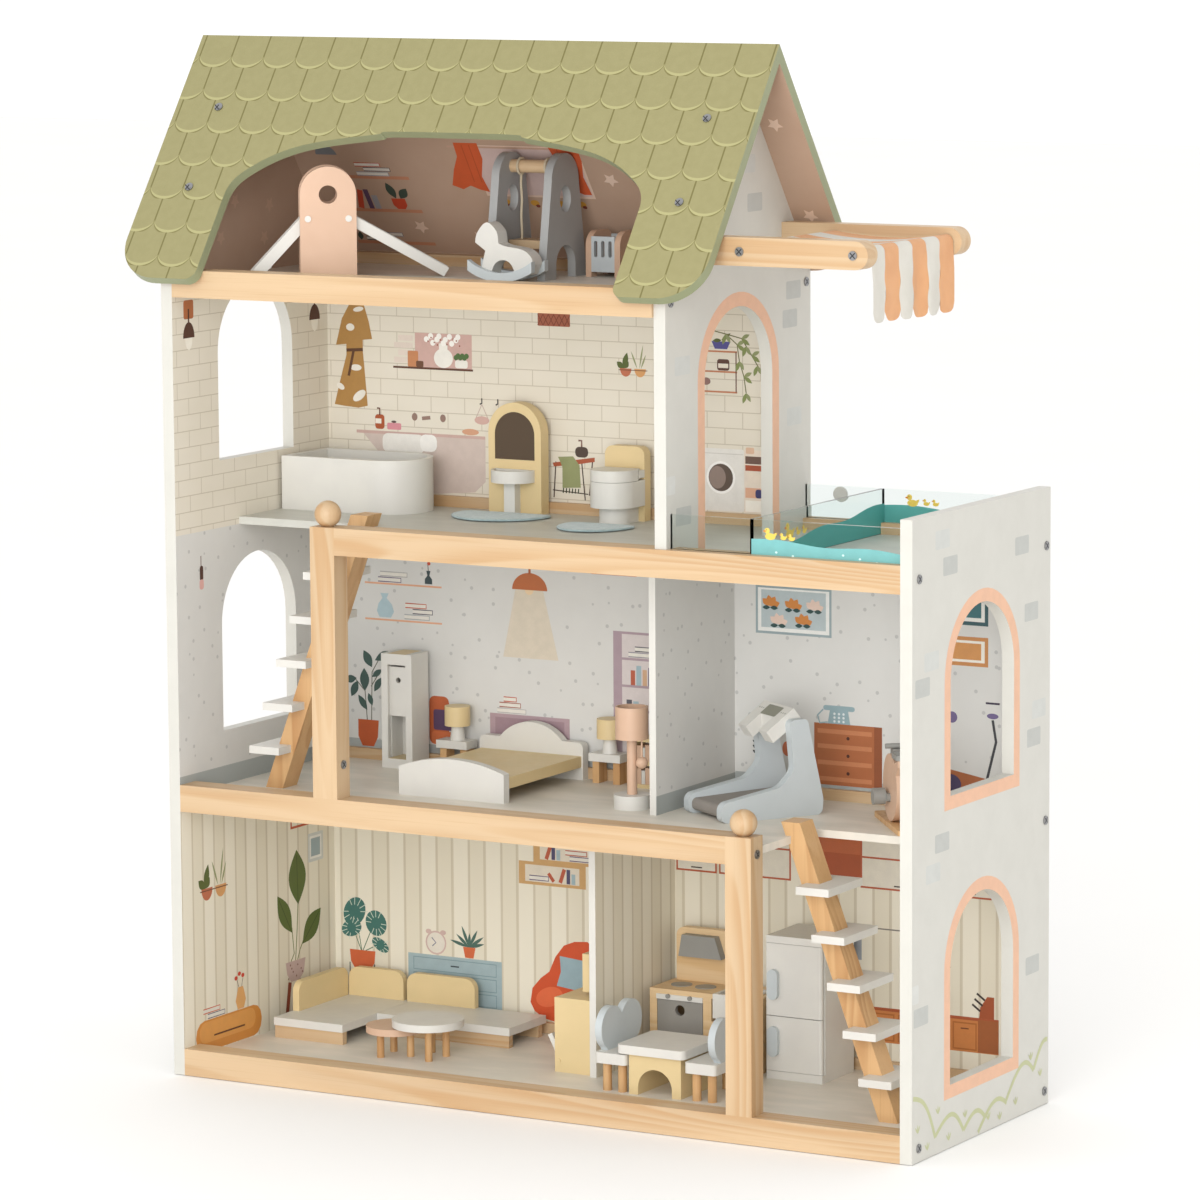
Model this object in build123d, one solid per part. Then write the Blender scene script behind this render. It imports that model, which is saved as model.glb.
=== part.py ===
from build123d import *
import os
from math import cos, hypot, radians, sin, tan

# A furnished wooden doll's house, in millimetres. While it is being built, x runs right from the inner
# face of the left wall, y runs back from the front edges of the walls and z runs up from the ground.
# The finished pieces are shifted so that the origin is the middle of the footprint, on the ground.

# House
INNER_WIDTH = 640.0
DEPTH = 236.6
WALL = 10.0
BATH_WIDTH = 432.0            # the storey below the roof ends at the tall wall
TALL_FRONT = 3.0              # the tall wall stands a little behind the front
RIGHT_TOP = 483.6             # flat top of the right wall
RAIL_HEIGHT = 21.4
RAIL_DEPTH = 22.0
BACK_RAIL_DEPTH = 15.0
RAIL_BOTTOMS = (0.0, 214.0, 428.0, 624.0)
FLOOR_DROP = 8.9              # floor panels lie this far below the tops of the rails
FLOOR_THICKNESS = 6.0
PANEL = 5.0                   # back panels
PARTITION = 5.8
PARTITION_FRONT = 98.0
GROUND_PARTITION_X = 317.8
FIRST_PARTITION_X = 373.1
POST_WIDTH = 22.2
POST_DEPTH = 18.8
LEFT_POST_X = 125.6
RIGHT_POST_X = 492.6
FINIAL_RADIUS = 10.5
STAIRWELL = 127.0             # width of the notch in a floor, beside a side wall
FIRST_STAIRWELL_BACK = 104.0
SECOND_STAIRWELL_BACK = 91.0
WINDOW_WIDTH = 109.0
WINDOW_HEIGHT = 140.0
DOOR_TOP = 624.0

RAIL_TOPS = [bottom + RAIL_HEIGHT for bottom in RAIL_BOTTOMS]
FLOORS = [top - FLOOR_DROP for top in RAIL_TOPS]
GROUND, FIRST, SECOND, ATTIC = FLOORS
MIDDLE = DEPTH / 2
BACK_RAIL_FRONT = DEPTH - BACK_RAIL_DEPTH
PANEL_FRONT = DEPTH - BACK_RAIL_DEPTH / 2 - PANEL / 2

# Roof
RIDGE = 824.2
ROOF_LEAN = radians(35.8)     # from the vertical
ROOF_THICKNESS = 8.5
ROOF_LEFT, ROOF_RIGHT = -45.5, 478.0
ROOF_SLOPE_LENGTH = 227.0
BACK_SLOPE_LENGTH = 218.0
ROOF_CORNER = 36.0
LOBE_CORNER = 9.0
ARCH_SIDES = (30.0, 404.5)    # the opening under the front roof
ARCH_CREST = 86.4             # down the slope from the ridge
ARCH_SHOULDERS = 150.0
ARCH_BENDS = ((15.0, 123.0), (54.0, 102.0), (123.0, 89.0))   # in from a side, down the slope
EAVES_LINE = RIDGE - ROOF_THICKNESS / sin(ROOF_LEAN)

# Ladders
LADDER_RISE = 224.5
LADDER_LEAN = 0.372           # sideways over up
STRINGER_WIDTH = 16.0
STRINGER_DEPTH = 21.0
STRINGER_FRONT = 68.0
TREADS = 5
FIRST_TREAD = 36.0
TREAD_SPACING = 35.75
TREAD_SIZE = (28.0, 56.0, 6.0)
TREAD_FRONT = 50.0
TREAD_OFFSET = 11.0
LEFT_LADDER_X = 37.0
RIGHT_LADDER_X = 588.0

# Terrace
POOL_TOP = 475.6
CLEAR_SHEET = 3.0
DIVIDER_X = 508.5
ARM_LENGTH = 155.0
ARM_HEIGHT = 21.4
ARM_THICKNESS = 16.0
ARM_BOTTOM = 662.5
FRONT_ARM = 32.0
BACK_ARM = DEPTH - FRONT_ARM - ARM_THICKNESS
DOWEL_RADIUS = 5.0
DOWELS_X = (489.5, 584.7)
CLOTH = 1.6
CLOTH_DROP = 54.0
CLOTH_GAP = 0.3

SCREW_RADIUS = 3.5
SCREW_HEAD = 1.0


# Building blocks ---------------------------------------------------------------------------------

def block(x0, x1, y0, y1, z0, z1):
    """A box between two corners."""
    return Pos(x0, y0, z0) * Box(x1 - x0, y1 - y0, z1 - z0, align=(Align.MIN,) * 3)


def rod_x(x0, x1, y, z, radius):
    return Pos(x0, y, z) * Rot(0, 90, 0) * Cylinder(radius, x1 - x0, align=(Align.CENTER, Align.CENTER, Align.MIN))


def rod_y(y0, y1, x, z, radius):
    return Pos(x, y0, z) * Rot(-90, 0, 0) * Cylinder(radius, y1 - y0, align=(Align.CENTER, Align.CENTER, Align.MIN))


def rod_z(z0, z1, x, y, radius):
    return Pos(x, y, z0) * Cylinder(radius, z1 - z0, align=(Align.CENTER, Align.CENTER, Align.MIN))


def facing_front(outline, y0, thickness):
    """A board whose outline is drawn in x and z."""
    return Pos(0, y0 + thickness, 0) * extrude(Plane.XZ * outline, thickness)


def facing_side(outline, x0, thickness):
    """A board whose outline is drawn in y and z."""
    return Pos(x0, 0, 0) * extrude(Plane.YZ * outline, thickness)


def lying(outline, z0, thickness):
    """A board whose outline is drawn in x and y."""
    return Pos(0, 0, z0) * extrude(outline, thickness)


def polygon(*points):
    return make_face(Polyline(*points, close=True))


def panel(mid, low, width, height, corner=0.0):
    """A rectangle from its bottom middle, with its top corners rounded."""
    whole = Pos(mid, low + height / 2) * Rectangle(width, height)
    if corner:
        tops = whole.vertices().sort_by(Axis.Y)[-2:]
        whole = fillet(tops, corner)
    return whole


def arch(mid, low, width, height):
    """A rectangle with a half circle on it."""
    straight = height - width / 2
    return Pos(mid, low + straight / 2) * Rectangle(width, straight) + Pos(mid, low + straight) * Circle(width / 2)


def rounded_board(x0, x1, y0, y1, z0, z1, corner):
    """A lying board with round corners."""
    outline = Pos((x0 + x1) / 2, (y0 + y1) / 2) * RectangleRounded(x1 - x0, y1 - y0, corner)
    return lying(outline, z0, z1 - z0)


def d_shape(x0, x1, y0, y1):
    """Straight along the back, with both front corners fully rounded."""
    radius = min((x1 - x0) / 2, y1 - y0) - 0.01
    whole = Pos((x0 + x1) / 2, (y0 + y1) / 2) * Rectangle(x1 - x0, y1 - y0)
    return fillet(whole.vertices().sort_by(Axis.Y)[:2], radius)


def pieces(*parts):
    """Separate solids that share one node."""
    return Compound([solid for part in parts for solid in part.solids()])


# House -------------------------------------------------------------------------------------------

def roof_underside(y):
    return EAVES_LINE - abs(y - MIDDLE) / tan(ROOF_LEAN) - 0.1


def window(low):
    return arch(MIDDLE, low, WINDOW_WIDTH, WINDOW_HEIGHT)


WINDOW_SILLS = {"bedroom": 270.0, "bathroom": 488.5, "kitchen": 48.5, "gym": 269.0}


def left_wall():
    outline = polygon((0, 0), (DEPTH, 0), (DEPTH, roof_underside(DEPTH)), (MIDDLE, roof_underside(MIDDLE)),
                      (0, roof_underside(0)))
    outline -= window(WINDOW_SILLS["bedroom"]) + window(WINDOW_SILLS["bathroom"])
    return facing_side(outline, -WALL, WALL)


def tall_wall():
    """The gabled wall beside the terrace, notched over the front and back rails."""
    floor, step = SECOND, RAIL_TOPS[2]
    outline = polygon((RAIL_DEPTH, floor), (BACK_RAIL_FRONT, floor), (BACK_RAIL_FRONT, step), (DEPTH, step),
                      (DEPTH, roof_underside(DEPTH)), (MIDDLE, roof_underside(MIDDLE)),
                      (TALL_FRONT, roof_underside(TALL_FRONT)), (TALL_FRONT, step), (RAIL_DEPTH, step))
    outline -= arch(MIDDLE, floor, WINDOW_WIDTH, DOOR_TOP - floor)
    return facing_side(outline, BATH_WIDTH, WALL)


def right_wall():
    outline = polygon((0, 0), (DEPTH, 0), (DEPTH, RIGHT_TOP), (0, RIGHT_TOP))
    outline -= window(WINDOW_SILLS["kitchen"]) + window(WINDOW_SILLS["gym"])
    return facing_side(outline, INNER_WIDTH, WALL)


def floor_panel(level, width, notch=None):
    top = FLOORS[level]
    board = block(0, width, RAIL_DEPTH, BACK_RAIL_FRONT, top - FLOOR_THICKNESS, top)
    if notch:
        x0, x1, back = notch
        board -= block(x0, x1, RAIL_DEPTH, back, top - FLOOR_THICKNESS, top)
    return board


FIRST_NOTCH = (INNER_WIDTH - STAIRWELL, INNER_WIDTH, FIRST_STAIRWELL_BACK)
SECOND_NOTCH = (0, STAIRWELL, SECOND_STAIRWELL_BACK)


def front_rail(level, x0, x1):
    return block(x0, x1, 0, RAIL_DEPTH, RAIL_BOTTOMS[level], RAIL_TOPS[level])


def back_rails():
    rails = []
    for bottom, top in zip(RAIL_BOTTOMS, RAIL_TOPS):
        end = BATH_WIDTH if bottom == RAIL_BOTTOMS[-1] else INNER_WIDTH
        rails.append(block(0, end, BACK_RAIL_FRONT, DEPTH, bottom, top))
    return pieces(*rails)


def back_panel(level):
    end = BATH_WIDTH if level == 2 else INNER_WIDTH
    return block(0, end, PANEL_FRONT, PANEL_FRONT + PANEL, RAIL_TOPS[level], RAIL_BOTTOMS[level + 1])


def partition(level, x0):
    """From the floor to the panel above, reaching back to the back panel between the rails."""
    x1 = x0 + PARTITION
    ceiling = FLOORS[level + 1] - FLOOR_THICKNESS
    body = block(x0, x1, PARTITION_FRONT, BACK_RAIL_FRONT, FLOORS[level], ceiling)
    return body + block(x0, x1, PARTITION_FRONT, PANEL_FRONT, RAIL_TOPS[level], RAIL_BOTTOMS[level + 1])


def post(x0, foot, top):
    """A square newel post and its ball."""
    shaft = block(x0, x0 + POST_WIDTH, 0, POST_DEPTH, foot, top)
    lift = 0.92 * FINIAL_RADIUS
    ball = Pos(x0 + POST_WIDTH / 2, POST_DEPTH / 2, top + lift) * Sphere(FINIAL_RADIUS)
    ball -= block(x0, x0 + POST_WIDTH, 0, POST_DEPTH, top - POST_WIDTH, top)
    return pieces(shaft, ball)


def roof_outline(length):
    """One roof board, drawn down the slope from the ridge."""
    mid = (ROOF_LEFT + ROOF_RIGHT) / 2
    outline = Pos(mid, -length / 2) * Rectangle(ROOF_RIGHT - ROOF_LEFT, length)
    return fillet(outline.vertices().sort_by(Axis.Y)[:2], ROOF_CORNER)


def roof_opening():
    """The wide flat arch cut into the front board."""
    left, right = ARCH_SIDES
    crest = ((left + right) / 2, -ARCH_CREST)
    bottom, shoulder = -ROOF_SLOPE_LENGTH, -ARCH_SHOULDERS
    halves = []
    for side, inward in ((left, 1), (right, -1)):
        bends = [(side + inward * run, -down) for run, down in ARCH_BENDS]
        halves.append(Spline((side, shoulder), *bends, crest, tangents=((0, 1), (inward, 0))))
    edges = Polyline((left, shoulder), (left, bottom), (right, bottom), (right, shoulder))
    return make_face(halves[0] + halves[1] + edges)


def roof_board(outline, front):
    """Lays a roof outline on its slope and mitres it at the ridge."""
    lean = -1 if front else 1
    slope = Plane(origin=(0, MIDDLE, RIDGE), x_dir=(1, 0, 0) if front else (-1, 0, 0),
                  z_dir=(0, lean * cos(ROOF_LEAN), sin(ROOF_LEAN)))
    if not front:
        outline = mirror(outline, Plane.YZ)
    board = extrude(slope * outline, -ROOF_THICKNESS)
    reach = 2 * DEPTH
    beyond = (MIDDLE, MIDDLE + reach) if front else (MIDDLE - reach, MIDDLE)
    return board - block(-reach, INNER_WIDTH + reach, *beyond, 0, 2 * RIDGE)


def front_roof():
    outline = roof_outline(ROOF_SLOPE_LENGTH) - roof_opening()
    inner = outline.vertices().filter_by(lambda v: abs(v.Y + ROOF_SLOPE_LENGTH) < 1 and v.X > 0 and v.X < BATH_WIDTH)
    inner = [v for v in inner if min(abs(v.X - side) for side in ARCH_SIDES) < 1]
    return roof_board(fillet(inner, LOBE_CORNER), front=True)


def back_roof():
    return roof_board(roof_outline(BACK_SLOPE_LENGTH), front=False)


def ladder(foot_x, floor, lean, panel_above):
    """One leaning stringer, hooked over the edge of the floor above, with notched treads."""
    shift = lean * LADDER_RISE
    outline = polygon((foot_x, floor), (foot_x + STRINGER_WIDTH, floor),
                      (foot_x + STRINGER_WIDTH + shift, floor + LADDER_RISE), (foot_x + shift, floor + LADDER_RISE))
    stringer = facing_front(outline, STRINGER_FRONT, STRINGER_DEPTH)
    length, width, thickness = TREAD_SIZE
    treads = []
    for step in range(TREADS):
        top = floor + FIRST_TREAD + step * TREAD_SPACING
        towards_foot = -TREAD_OFFSET if lean > 0 else TREAD_OFFSET
        mid = foot_x + STRINGER_WIDTH / 2 + lean * (top - floor) + towards_foot
        tread = block(mid - length / 2, mid + length / 2, TREAD_FRONT, TREAD_FRONT + width, top - thickness, top)
        treads.append(tread - stringer)
    return pieces(stringer - panel_above, *treads)


# Terrace -----------------------------------------------------------------------------------------

def pool_panels():
    """Clear sheets standing on the middle of the rails, and one across the floor between them."""
    x0, x1 = BATH_WIDTH + WALL, INNER_WIDTH
    step = RAIL_TOPS[2]
    front_y = RAIL_DEPTH / 2 - CLEAR_SHEET / 2
    back_y = DEPTH - BACK_RAIL_DEPTH / 2 - CLEAR_SHEET / 2
    front = block(x0, x1, front_y, front_y + CLEAR_SHEET, step, POOL_TOP)
    back = block(x0, x1, back_y, back_y + CLEAR_SHEET, step, POOL_TOP)
    across = block(DIVIDER_X, DIVIDER_X + CLEAR_SHEET, front_y + CLEAR_SHEET, back_y, step, POOL_TOP)
    across += block(DIVIDER_X, DIVIDER_X + CLEAR_SHEET, RAIL_DEPTH, BACK_RAIL_FRONT, SECOND, step)
    button_x, button_z, button_radius = 473.5, 469.3, 6.0
    button = rod_y(back_y - 2, back_y, button_x, button_z, button_radius)
    return pieces(front, back, across), button


def awning_frame():
    """Two arms with round ends and the two dowels between them."""
    x0 = BATH_WIDTH + WALL
    x1 = x0 + ARM_LENGTH
    radius = ARM_HEIGHT / 2 - 0.01
    middle = ARM_BOTTOM + ARM_HEIGHT / 2
    outline = Pos((x0 + x1) / 2, middle) * Rectangle(ARM_LENGTH, ARM_HEIGHT)
    outline = fillet(outline.vertices().sort_by(Axis.X)[-2:], radius)
    front = facing_front(outline, FRONT_ARM, ARM_THICKNESS)
    back = facing_front(outline, BACK_ARM, ARM_THICKNESS)
    dowels = [rod_y(FRONT_ARM + ARM_THICKNESS, BACK_ARM, x, middle, DOWEL_RADIUS) for x in DOWELS_X]
    return pieces(front, back, *dowels)


def awning_cloth():
    """From the inner dowel to the outer one, over it and down."""
    z = ARM_BOTTOM + ARM_HEIGHT / 2
    near = DOWEL_RADIUS + CLOTH_GAP
    inner_x, outer_x = DOWELS_X
    y0, y1 = FRONT_ARM + ARM_THICKNESS + 1, BACK_ARM - 1
    top = block(inner_x, outer_x, y0, y1, z + near, z + near + CLOTH)
    bend = rod_y(y0, y1, outer_x, z, near + CLOTH) - rod_y(y0, y1, outer_x, z, near)
    bend = bend & block(outer_x, outer_x + 2 * near, y0, y1, z, z + 2 * near)
    drop = block(outer_x + near, outer_x + near + CLOTH, y0, y1, z - CLOTH_DROP, z)
    return top + bend + drop


def screws():
    """Round heads on the walls, posts, roof boards and awning arm."""
    rail_ys = (RAIL_DEPTH / 2, DEPTH - BACK_RAIL_DEPTH / 2)
    heads = []
    right_face = INNER_WIDTH + WALL
    tall_face = BATH_WIDTH + WALL
    for level, bottom in enumerate(RAIL_BOTTOMS):
        z = bottom + RAIL_HEIGHT / 2
        for y in rail_ys:
            front = y == rail_ys[0]
            if not (front and level == 2):
                heads.append(rod_x(-WALL - SCREW_HEAD, -WALL, y, z, SCREW_RADIUS))
            if level == 3:
                heads.append(rod_x(tall_face, tall_face + SCREW_HEAD, y, z, SCREW_RADIUS))
            elif not (front and level == 1):
                heads.append(rod_x(right_face, right_face + SCREW_HEAD, y, z, SCREW_RADIUS))
    for x, z in ((LEFT_POST_X + POST_WIDTH, 262.0), (RIGHT_POST_X + POST_WIDTH, 222.0)):
        heads.append(rod_x(x, x + SCREW_HEAD, POST_DEPTH / 2, z, SCREW_RADIUS))
    arm_z = ARM_BOTTOM + ARM_HEIGHT / 2
    for x in DOWELS_X:
        heads.append(rod_y(FRONT_ARM - SCREW_HEAD, FRONT_ARM, x, arm_z, SCREW_RADIUS))
    for lean in (-1, 1):
        slope = Plane(origin=(0, MIDDLE, RIDGE), x_dir=(1, 0, 0), z_dir=(0, lean * cos(ROOF_LEAN), sin(ROOF_LEAN)))
        for x in (-WALL / 2, BATH_WIDTH + WALL / 2):
            for down in (68.0, 143.0):
                spot = Pos(x, lean * down, 0) * Circle(SCREW_RADIUS)
                heads.append(extrude(slope * spot, SCREW_HEAD))
    return pieces(*heads)


# Attic -------------------------------------------------------------------------------------------

# The tower stands at an angle. Its place is the middle of the front board, with X along that board.
TOWER_PLACE = Pos(101.3, 71.0, 0) * Rot(0, 0, 34.8)
TOWER_WIDTH, TOWER_HEIGHT = 44.5, 88.5
TOWER_X, TOWER_Y = -TOWER_WIDTH / 2, 0.0
TOWER_BOARD, TOWER_GAP = 6.0, 21.0
PIN_Z = ATTIC + 47.5
LADDER_PIN_X, CHUTE_PIN_X = -16.0, 16.0
PIN_RADIUS = 2.6
PIN_CLEARANCE = 0.08
SIDE_GAP = 0.4                # between the slide's moving parts and the boards
TOY_LADDER_FOOT_X, CHUTE_FOOT_X = -54.0, 91.0


def tower_boards():
    mid = TOWER_X + TOWER_WIDTH / 2
    outline = arch(mid, ATTIC, TOWER_WIDTH, TOWER_HEIGHT) - Pos(mid, ATTIC + 66.5) * Circle(7.2)
    for x in (LADDER_PIN_X, CHUTE_PIN_X):
        outline -= Pos(x, PIN_Z) * Circle(PIN_RADIUS)
    back_y = TOWER_Y + TOWER_BOARD + TOWER_GAP
    return pieces(facing_front(outline, TOWER_Y, TOWER_BOARD), facing_front(outline, back_y, TOWER_BOARD))


def tower_pins():
    y0, y1 = TOWER_Y - 0.8, TOWER_Y + 2 * TOWER_BOARD + TOWER_GAP
    return pieces(*[rod_y(y0, y1, x, PIN_Z, PIN_RADIUS) for x in (LADDER_PIN_X, CHUTE_PIN_X)])


def leaning_bar(top_x, foot_x, height):
    """The side outline of a bar from its pin down to the attic floor, with a hole for the pin."""
    run, rise = foot_x - top_x, PIN_Z - ATTIC - 0.3
    length = hypot(run, rise)
    ux, uz = run / length, -rise / length
    nx, nz = (-uz, ux) if run > 0 else (uz, -ux)
    half = height / 2
    foot = (top_x + ux * length, PIN_Z + uz * length)
    corner_up = (foot[0] + nx * height, foot[1] + nz * height)
    outline = polygon((top_x - nx * half, PIN_Z - nz * half), foot, corner_up, (top_x + nx * half, PIN_Z + nz * half))
    return outline + Pos(top_x, PIN_Z) * Circle(half)


def toy_ladder():
    """Two side bars and four rungs."""
    height, bar, rung = 9.0, 4.0, 1.8
    hole = Pos(LADDER_PIN_X, PIN_Z) * Circle(PIN_RADIUS + PIN_CLEARANCE)
    outline = leaning_bar(LADDER_PIN_X, TOY_LADDER_FOOT_X, height) - hole
    y0 = TOWER_Y + TOWER_BOARD + SIDE_GAP
    y1 = TOWER_Y + TOWER_BOARD + TOWER_GAP - SIDE_GAP
    bars = [facing_front(outline, y, bar) for y in (y0, y1 - bar)]
    run, rise = TOY_LADDER_FOOT_X - LADDER_PIN_X, ATTIC - PIN_Z
    rungs = [rod_y(y0 + bar, y1 - bar, LADDER_PIN_X + run * t, PIN_Z + rise * t, rung) for t in (0.26, 0.44, 0.62, 0.8)]
    return pieces(*bars, *rungs)


def chute():
    """A trough: a thin bed between two side walls."""
    height, side, bed = 8.0, 2.5, 2.5
    hole = Pos(CHUTE_PIN_X, PIN_Z) * Circle(PIN_RADIUS + PIN_CLEARANCE)
    outline = leaning_bar(CHUTE_PIN_X, CHUTE_FOOT_X, height) - hole
    y0 = TOWER_Y + TOWER_BOARD + SIDE_GAP
    y1 = TOWER_Y + TOWER_BOARD + TOWER_GAP - SIDE_GAP
    walls = [facing_front(outline, y, side) for y in (y0, y1 - side)]
    run, rise = CHUTE_FOOT_X - CHUTE_PIN_X, ATTIC - PIN_Z
    length = hypot(run, rise)
    ux, uz = run / length, rise / length
    start = 8.0
    a = (CHUTE_PIN_X + ux * start + uz * 4.0, PIN_Z + uz * start - ux * 4.0)
    b = (CHUTE_FOOT_X - ux * 2, ATTIC - uz * 2 + 0.3)
    floor_bed = polygon(a, b, (b[0] - uz * bed, b[1] + ux * bed), (a[0] - uz * bed, a[1] + ux * bed))
    return walls[0] + walls[1] + facing_front(floor_bed, y0 + side / 2, y1 - y0 - side)


SWING_LEFT_X, SWING_RIGHT_X, SWING_Y, SWING_WIDTH, SWING_HEIGHT = 210.0, 258.0, 127.5, 66.0, 98.0
SWING_BOARD = 7.0
SWING_BAR_RADIUS = 5.2
SWING_BAR_Z = ATTIC + 87.0
ROPE_RADIUS = 1.0


def swing_frame():
    """Two boards that narrow towards round tops, each with an oval hole and an arch between its feet."""
    mid = SWING_Y + SWING_WIDTH / 2
    top_radius = 21.0
    top = ATTIC + SWING_HEIGHT - top_radius
    foot = SWING_WIDTH / 2
    side = polygon((mid - foot, ATTIC), (mid + foot, ATTIC), (mid + top_radius, top), (mid - top_radius, top))
    side += Pos(mid, top) * Circle(top_radius)
    side -= Pos(mid, ATTIC + 62) * Ellipse(8.5, 10.5)
    side -= arch(mid, ATTIC, 30, 26)
    boards = [facing_side(side, x, SWING_BOARD) for x in (SWING_LEFT_X, SWING_RIGHT_X)]
    bar = rod_x(SWING_LEFT_X + SWING_BOARD, SWING_RIGHT_X, mid, SWING_BAR_Z, SWING_BAR_RADIUS)
    return pieces(*boards, bar)


def swing_seat():
    """The seat board, and the loops of rope that carry it from the bar."""
    mid = SWING_Y + SWING_WIDTH / 2
    x0, x1 = SWING_LEFT_X + SWING_BOARD + 3, SWING_RIGHT_X - 3
    depth, thickness, top = 24.0, 6.5, ATTIC + 29.5
    seat = block(x0, x1, mid - depth / 2, mid + depth / 2, top - thickness, top)
    ropes = []
    clearance = 0.06
    inner = SWING_BAR_RADIUS + clearance
    for x in (x0 + 5, x1 - 5):
        loop = rod_x(x - ROPE_RADIUS, x + ROPE_RADIUS, mid, SWING_BAR_Z, inner + 2 * ROPE_RADIUS)
        loop -= rod_x(x - ROPE_RADIUS, x + ROPE_RADIUS, mid, SWING_BAR_Z, inner)
        line = rod_z(top, SWING_BAR_Z - inner - ROPE_RADIUS, x, mid, ROPE_RADIUS)
        ropes.append(loop + line)
    return seat, pieces(*ropes)


HORSE_X, HORSE_Y = 211.0, 100.0
HORSE_LENGTH, HORSE_WIDTH = 58.0, 26.0
ROCKER_RADIUS = 56.0
ROCKER_BOARD = 5.5
ROCKER_LIFT = 0.3
HORSE_RODS = (-15.0, 17.5)
HORSE_ROD_Z = ATTIC + 7.5


def horse_rockers():
    """Two curved runners and the rods between them."""
    mid = HORSE_X + HORSE_LENGTH / 2
    centre = ATTIC + ROCKER_RADIUS + ROCKER_LIFT
    ring = Pos(mid, centre) * Circle(ROCKER_RADIUS) - Pos(mid, centre) * Circle(ROCKER_RADIUS - 7)
    band = ring & Pos(mid, ATTIC + 8) * Rectangle(HORSE_LENGTH, 18)
    runners = [facing_front(band, y, ROCKER_BOARD) for y in (HORSE_Y, HORSE_Y + HORSE_WIDTH - ROCKER_BOARD)]
    rods = [rod_y(HORSE_Y + ROCKER_BOARD, HORSE_Y + HORSE_WIDTH - ROCKER_BOARD, mid + dx, HORSE_ROD_Z, 2.2)
            for dx in HORSE_RODS]
    return pieces(*runners, *rods)


def horse_body():
    """A thick board cut to the shape of a horse, held by the two rods through its legs."""
    x, z = HORSE_X, ATTIC
    back = Spline((x + 25, z + 30), (x + 38, z + 27), (x + 50, z + 24), (x + 56, z + 14),
                  tangents=((1, -0.6), (-0.1, -1)))
    head = Spline((x + 4, z + 30), (x + 8, z + 41), (x + 15, z + 46), (x + 22, z + 41), (x + 25, z + 30),
                  tangents=((0, 1), (0.1, -1)))
    hind = Line((x + 56, z + 14), (x + 52, z + 6)) + Line((x + 52, z + 6), (x + 40, z + 5))
    belly = Spline((x + 40, z + 5), (x + 29, z + 17), (x + 18, z + 5), tangents=((-0.2, 1), (-0.2, -1)))
    fore = Line((x + 18, z + 5), (x + 9, z + 8)) + Line((x + 9, z + 8), (x + 13, z + 24))
    chest = Line((x + 13, z + 24), (x + 4, z + 30))
    outline = make_face(head + back + hind + belly + fore + chest)
    gap = 0.3
    y0 = HORSE_Y + ROCKER_BOARD + gap
    y1 = HORSE_Y + HORSE_WIDTH - ROCKER_BOARD - gap
    body = facing_front(outline, y0, y1 - y0)
    for dx in HORSE_RODS:
        body -= rod_y(y0, y1, x + HORSE_LENGTH / 2 + dx, HORSE_ROD_Z, 2.2)
    return body


CRIB_CENTRE = (288.5, 196.0)
CRIB_LENGTH, CRIB_WIDTH, CRIB_HEIGHT = 31.0, 36.0, 36.0


def crib():
    """Two end boards, a base board and two slotted sides."""
    board, side_board = 5.0, 4.0
    x0, x1 = -CRIB_LENGTH / 2, CRIB_LENGTH / 2
    y0, y1 = -CRIB_WIDTH / 2, CRIB_WIDTH / 2
    low, bed, side_top = 4.0, 10.0, 32.0
    end = panel(0, 0, CRIB_WIDTH, CRIB_HEIGHT, 12) - arch(0, 0, 18, 9.5)
    ends = [facing_side(end, x, board) for x in (x0, x1 - board)]
    base = block(x0 + board, x1 - board, y0, y1, low, bed)
    side = panel(0, bed, CRIB_LENGTH - 2 * board, side_top - bed)
    for dx in (-6.5, 0, 6.5):
        side -= Pos(dx, bed + 12) * SlotOverall(13, 3, rotation=90)
    sides = [facing_front(side, y, side_board) for y in (y0, y1 - side_board)]
    place = Pos(*CRIB_CENTRE, ATTIC)
    return place * pieces(*ends), place * pieces(base, *sides)


# Bathroom ----------------------------------------------------------------------------------------

TUB = dict(x0=3.0, x1=121.0, y0=150.0, y1=217.0, height=43.5, wall=4.5, bed=5.0)


def tub_outline(inset):
    x0, x1 = TUB["x0"] + inset, TUB["x1"] - inset
    y0, y1 = TUB["y0"] + inset, TUB["y1"] - inset
    radius = (y1 - y0) / 2 - 0.01
    whole = Pos((x0 + x1) / 2, (y0 + y1) / 2) * Rectangle(x1 - x0, y1 - y0)
    return fillet(whole.vertices().sort_by(Axis.X)[-2:], radius)


def bathtub():
    outside = lying(tub_outline(0), SECOND, TUB["height"])
    return outside - lying(tub_outline(TUB["wall"]), SECOND + TUB["bed"], TUB["height"])


WASH_X, WASH_Y, WASH_WIDTH, WASH_HEIGHT = 188.5, 208.0, 49.0, 89.5
WASH_BOARD = 12.0


def washstand():
    """An arched board with a mirror let in, a basin and its pedestal."""
    outline = arch(WASH_X, SECOND, WASH_WIDTH, WASH_HEIGHT)
    mirror_outline = arch(WASH_X, SECOND + 43.5, 37, 38.5)
    recess = 1.2
    board = facing_front(outline, WASH_Y, WASH_BOARD) - facing_front(mirror_outline, WASH_Y, recess)
    glass = facing_front(mirror_outline, WASH_Y + 0.4, recess - 0.4)
    front = WASH_Y - 20
    rim_low, rim_top = SECOND + 26, SECOND + 36
    basin = lying(d_shape(WASH_X - 18.5, WASH_X + 18.5, front, WASH_Y), rim_low, rim_top - rim_low)
    basin -= lying(d_shape(WASH_X - 15.5, WASH_X + 15.5, front + 3, WASH_Y - 3), rim_top - 6, 6)
    pedestal = block(WASH_X - 5, WASH_X + 5, WASH_Y - 9, WASH_Y, SECOND, rim_low)
    return pieces(board), pieces(glass), pieces(basin, pedestal)


TOILET = dict(x=290.0, width=37.0, front=171.5, panel_y=208.0)


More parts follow.
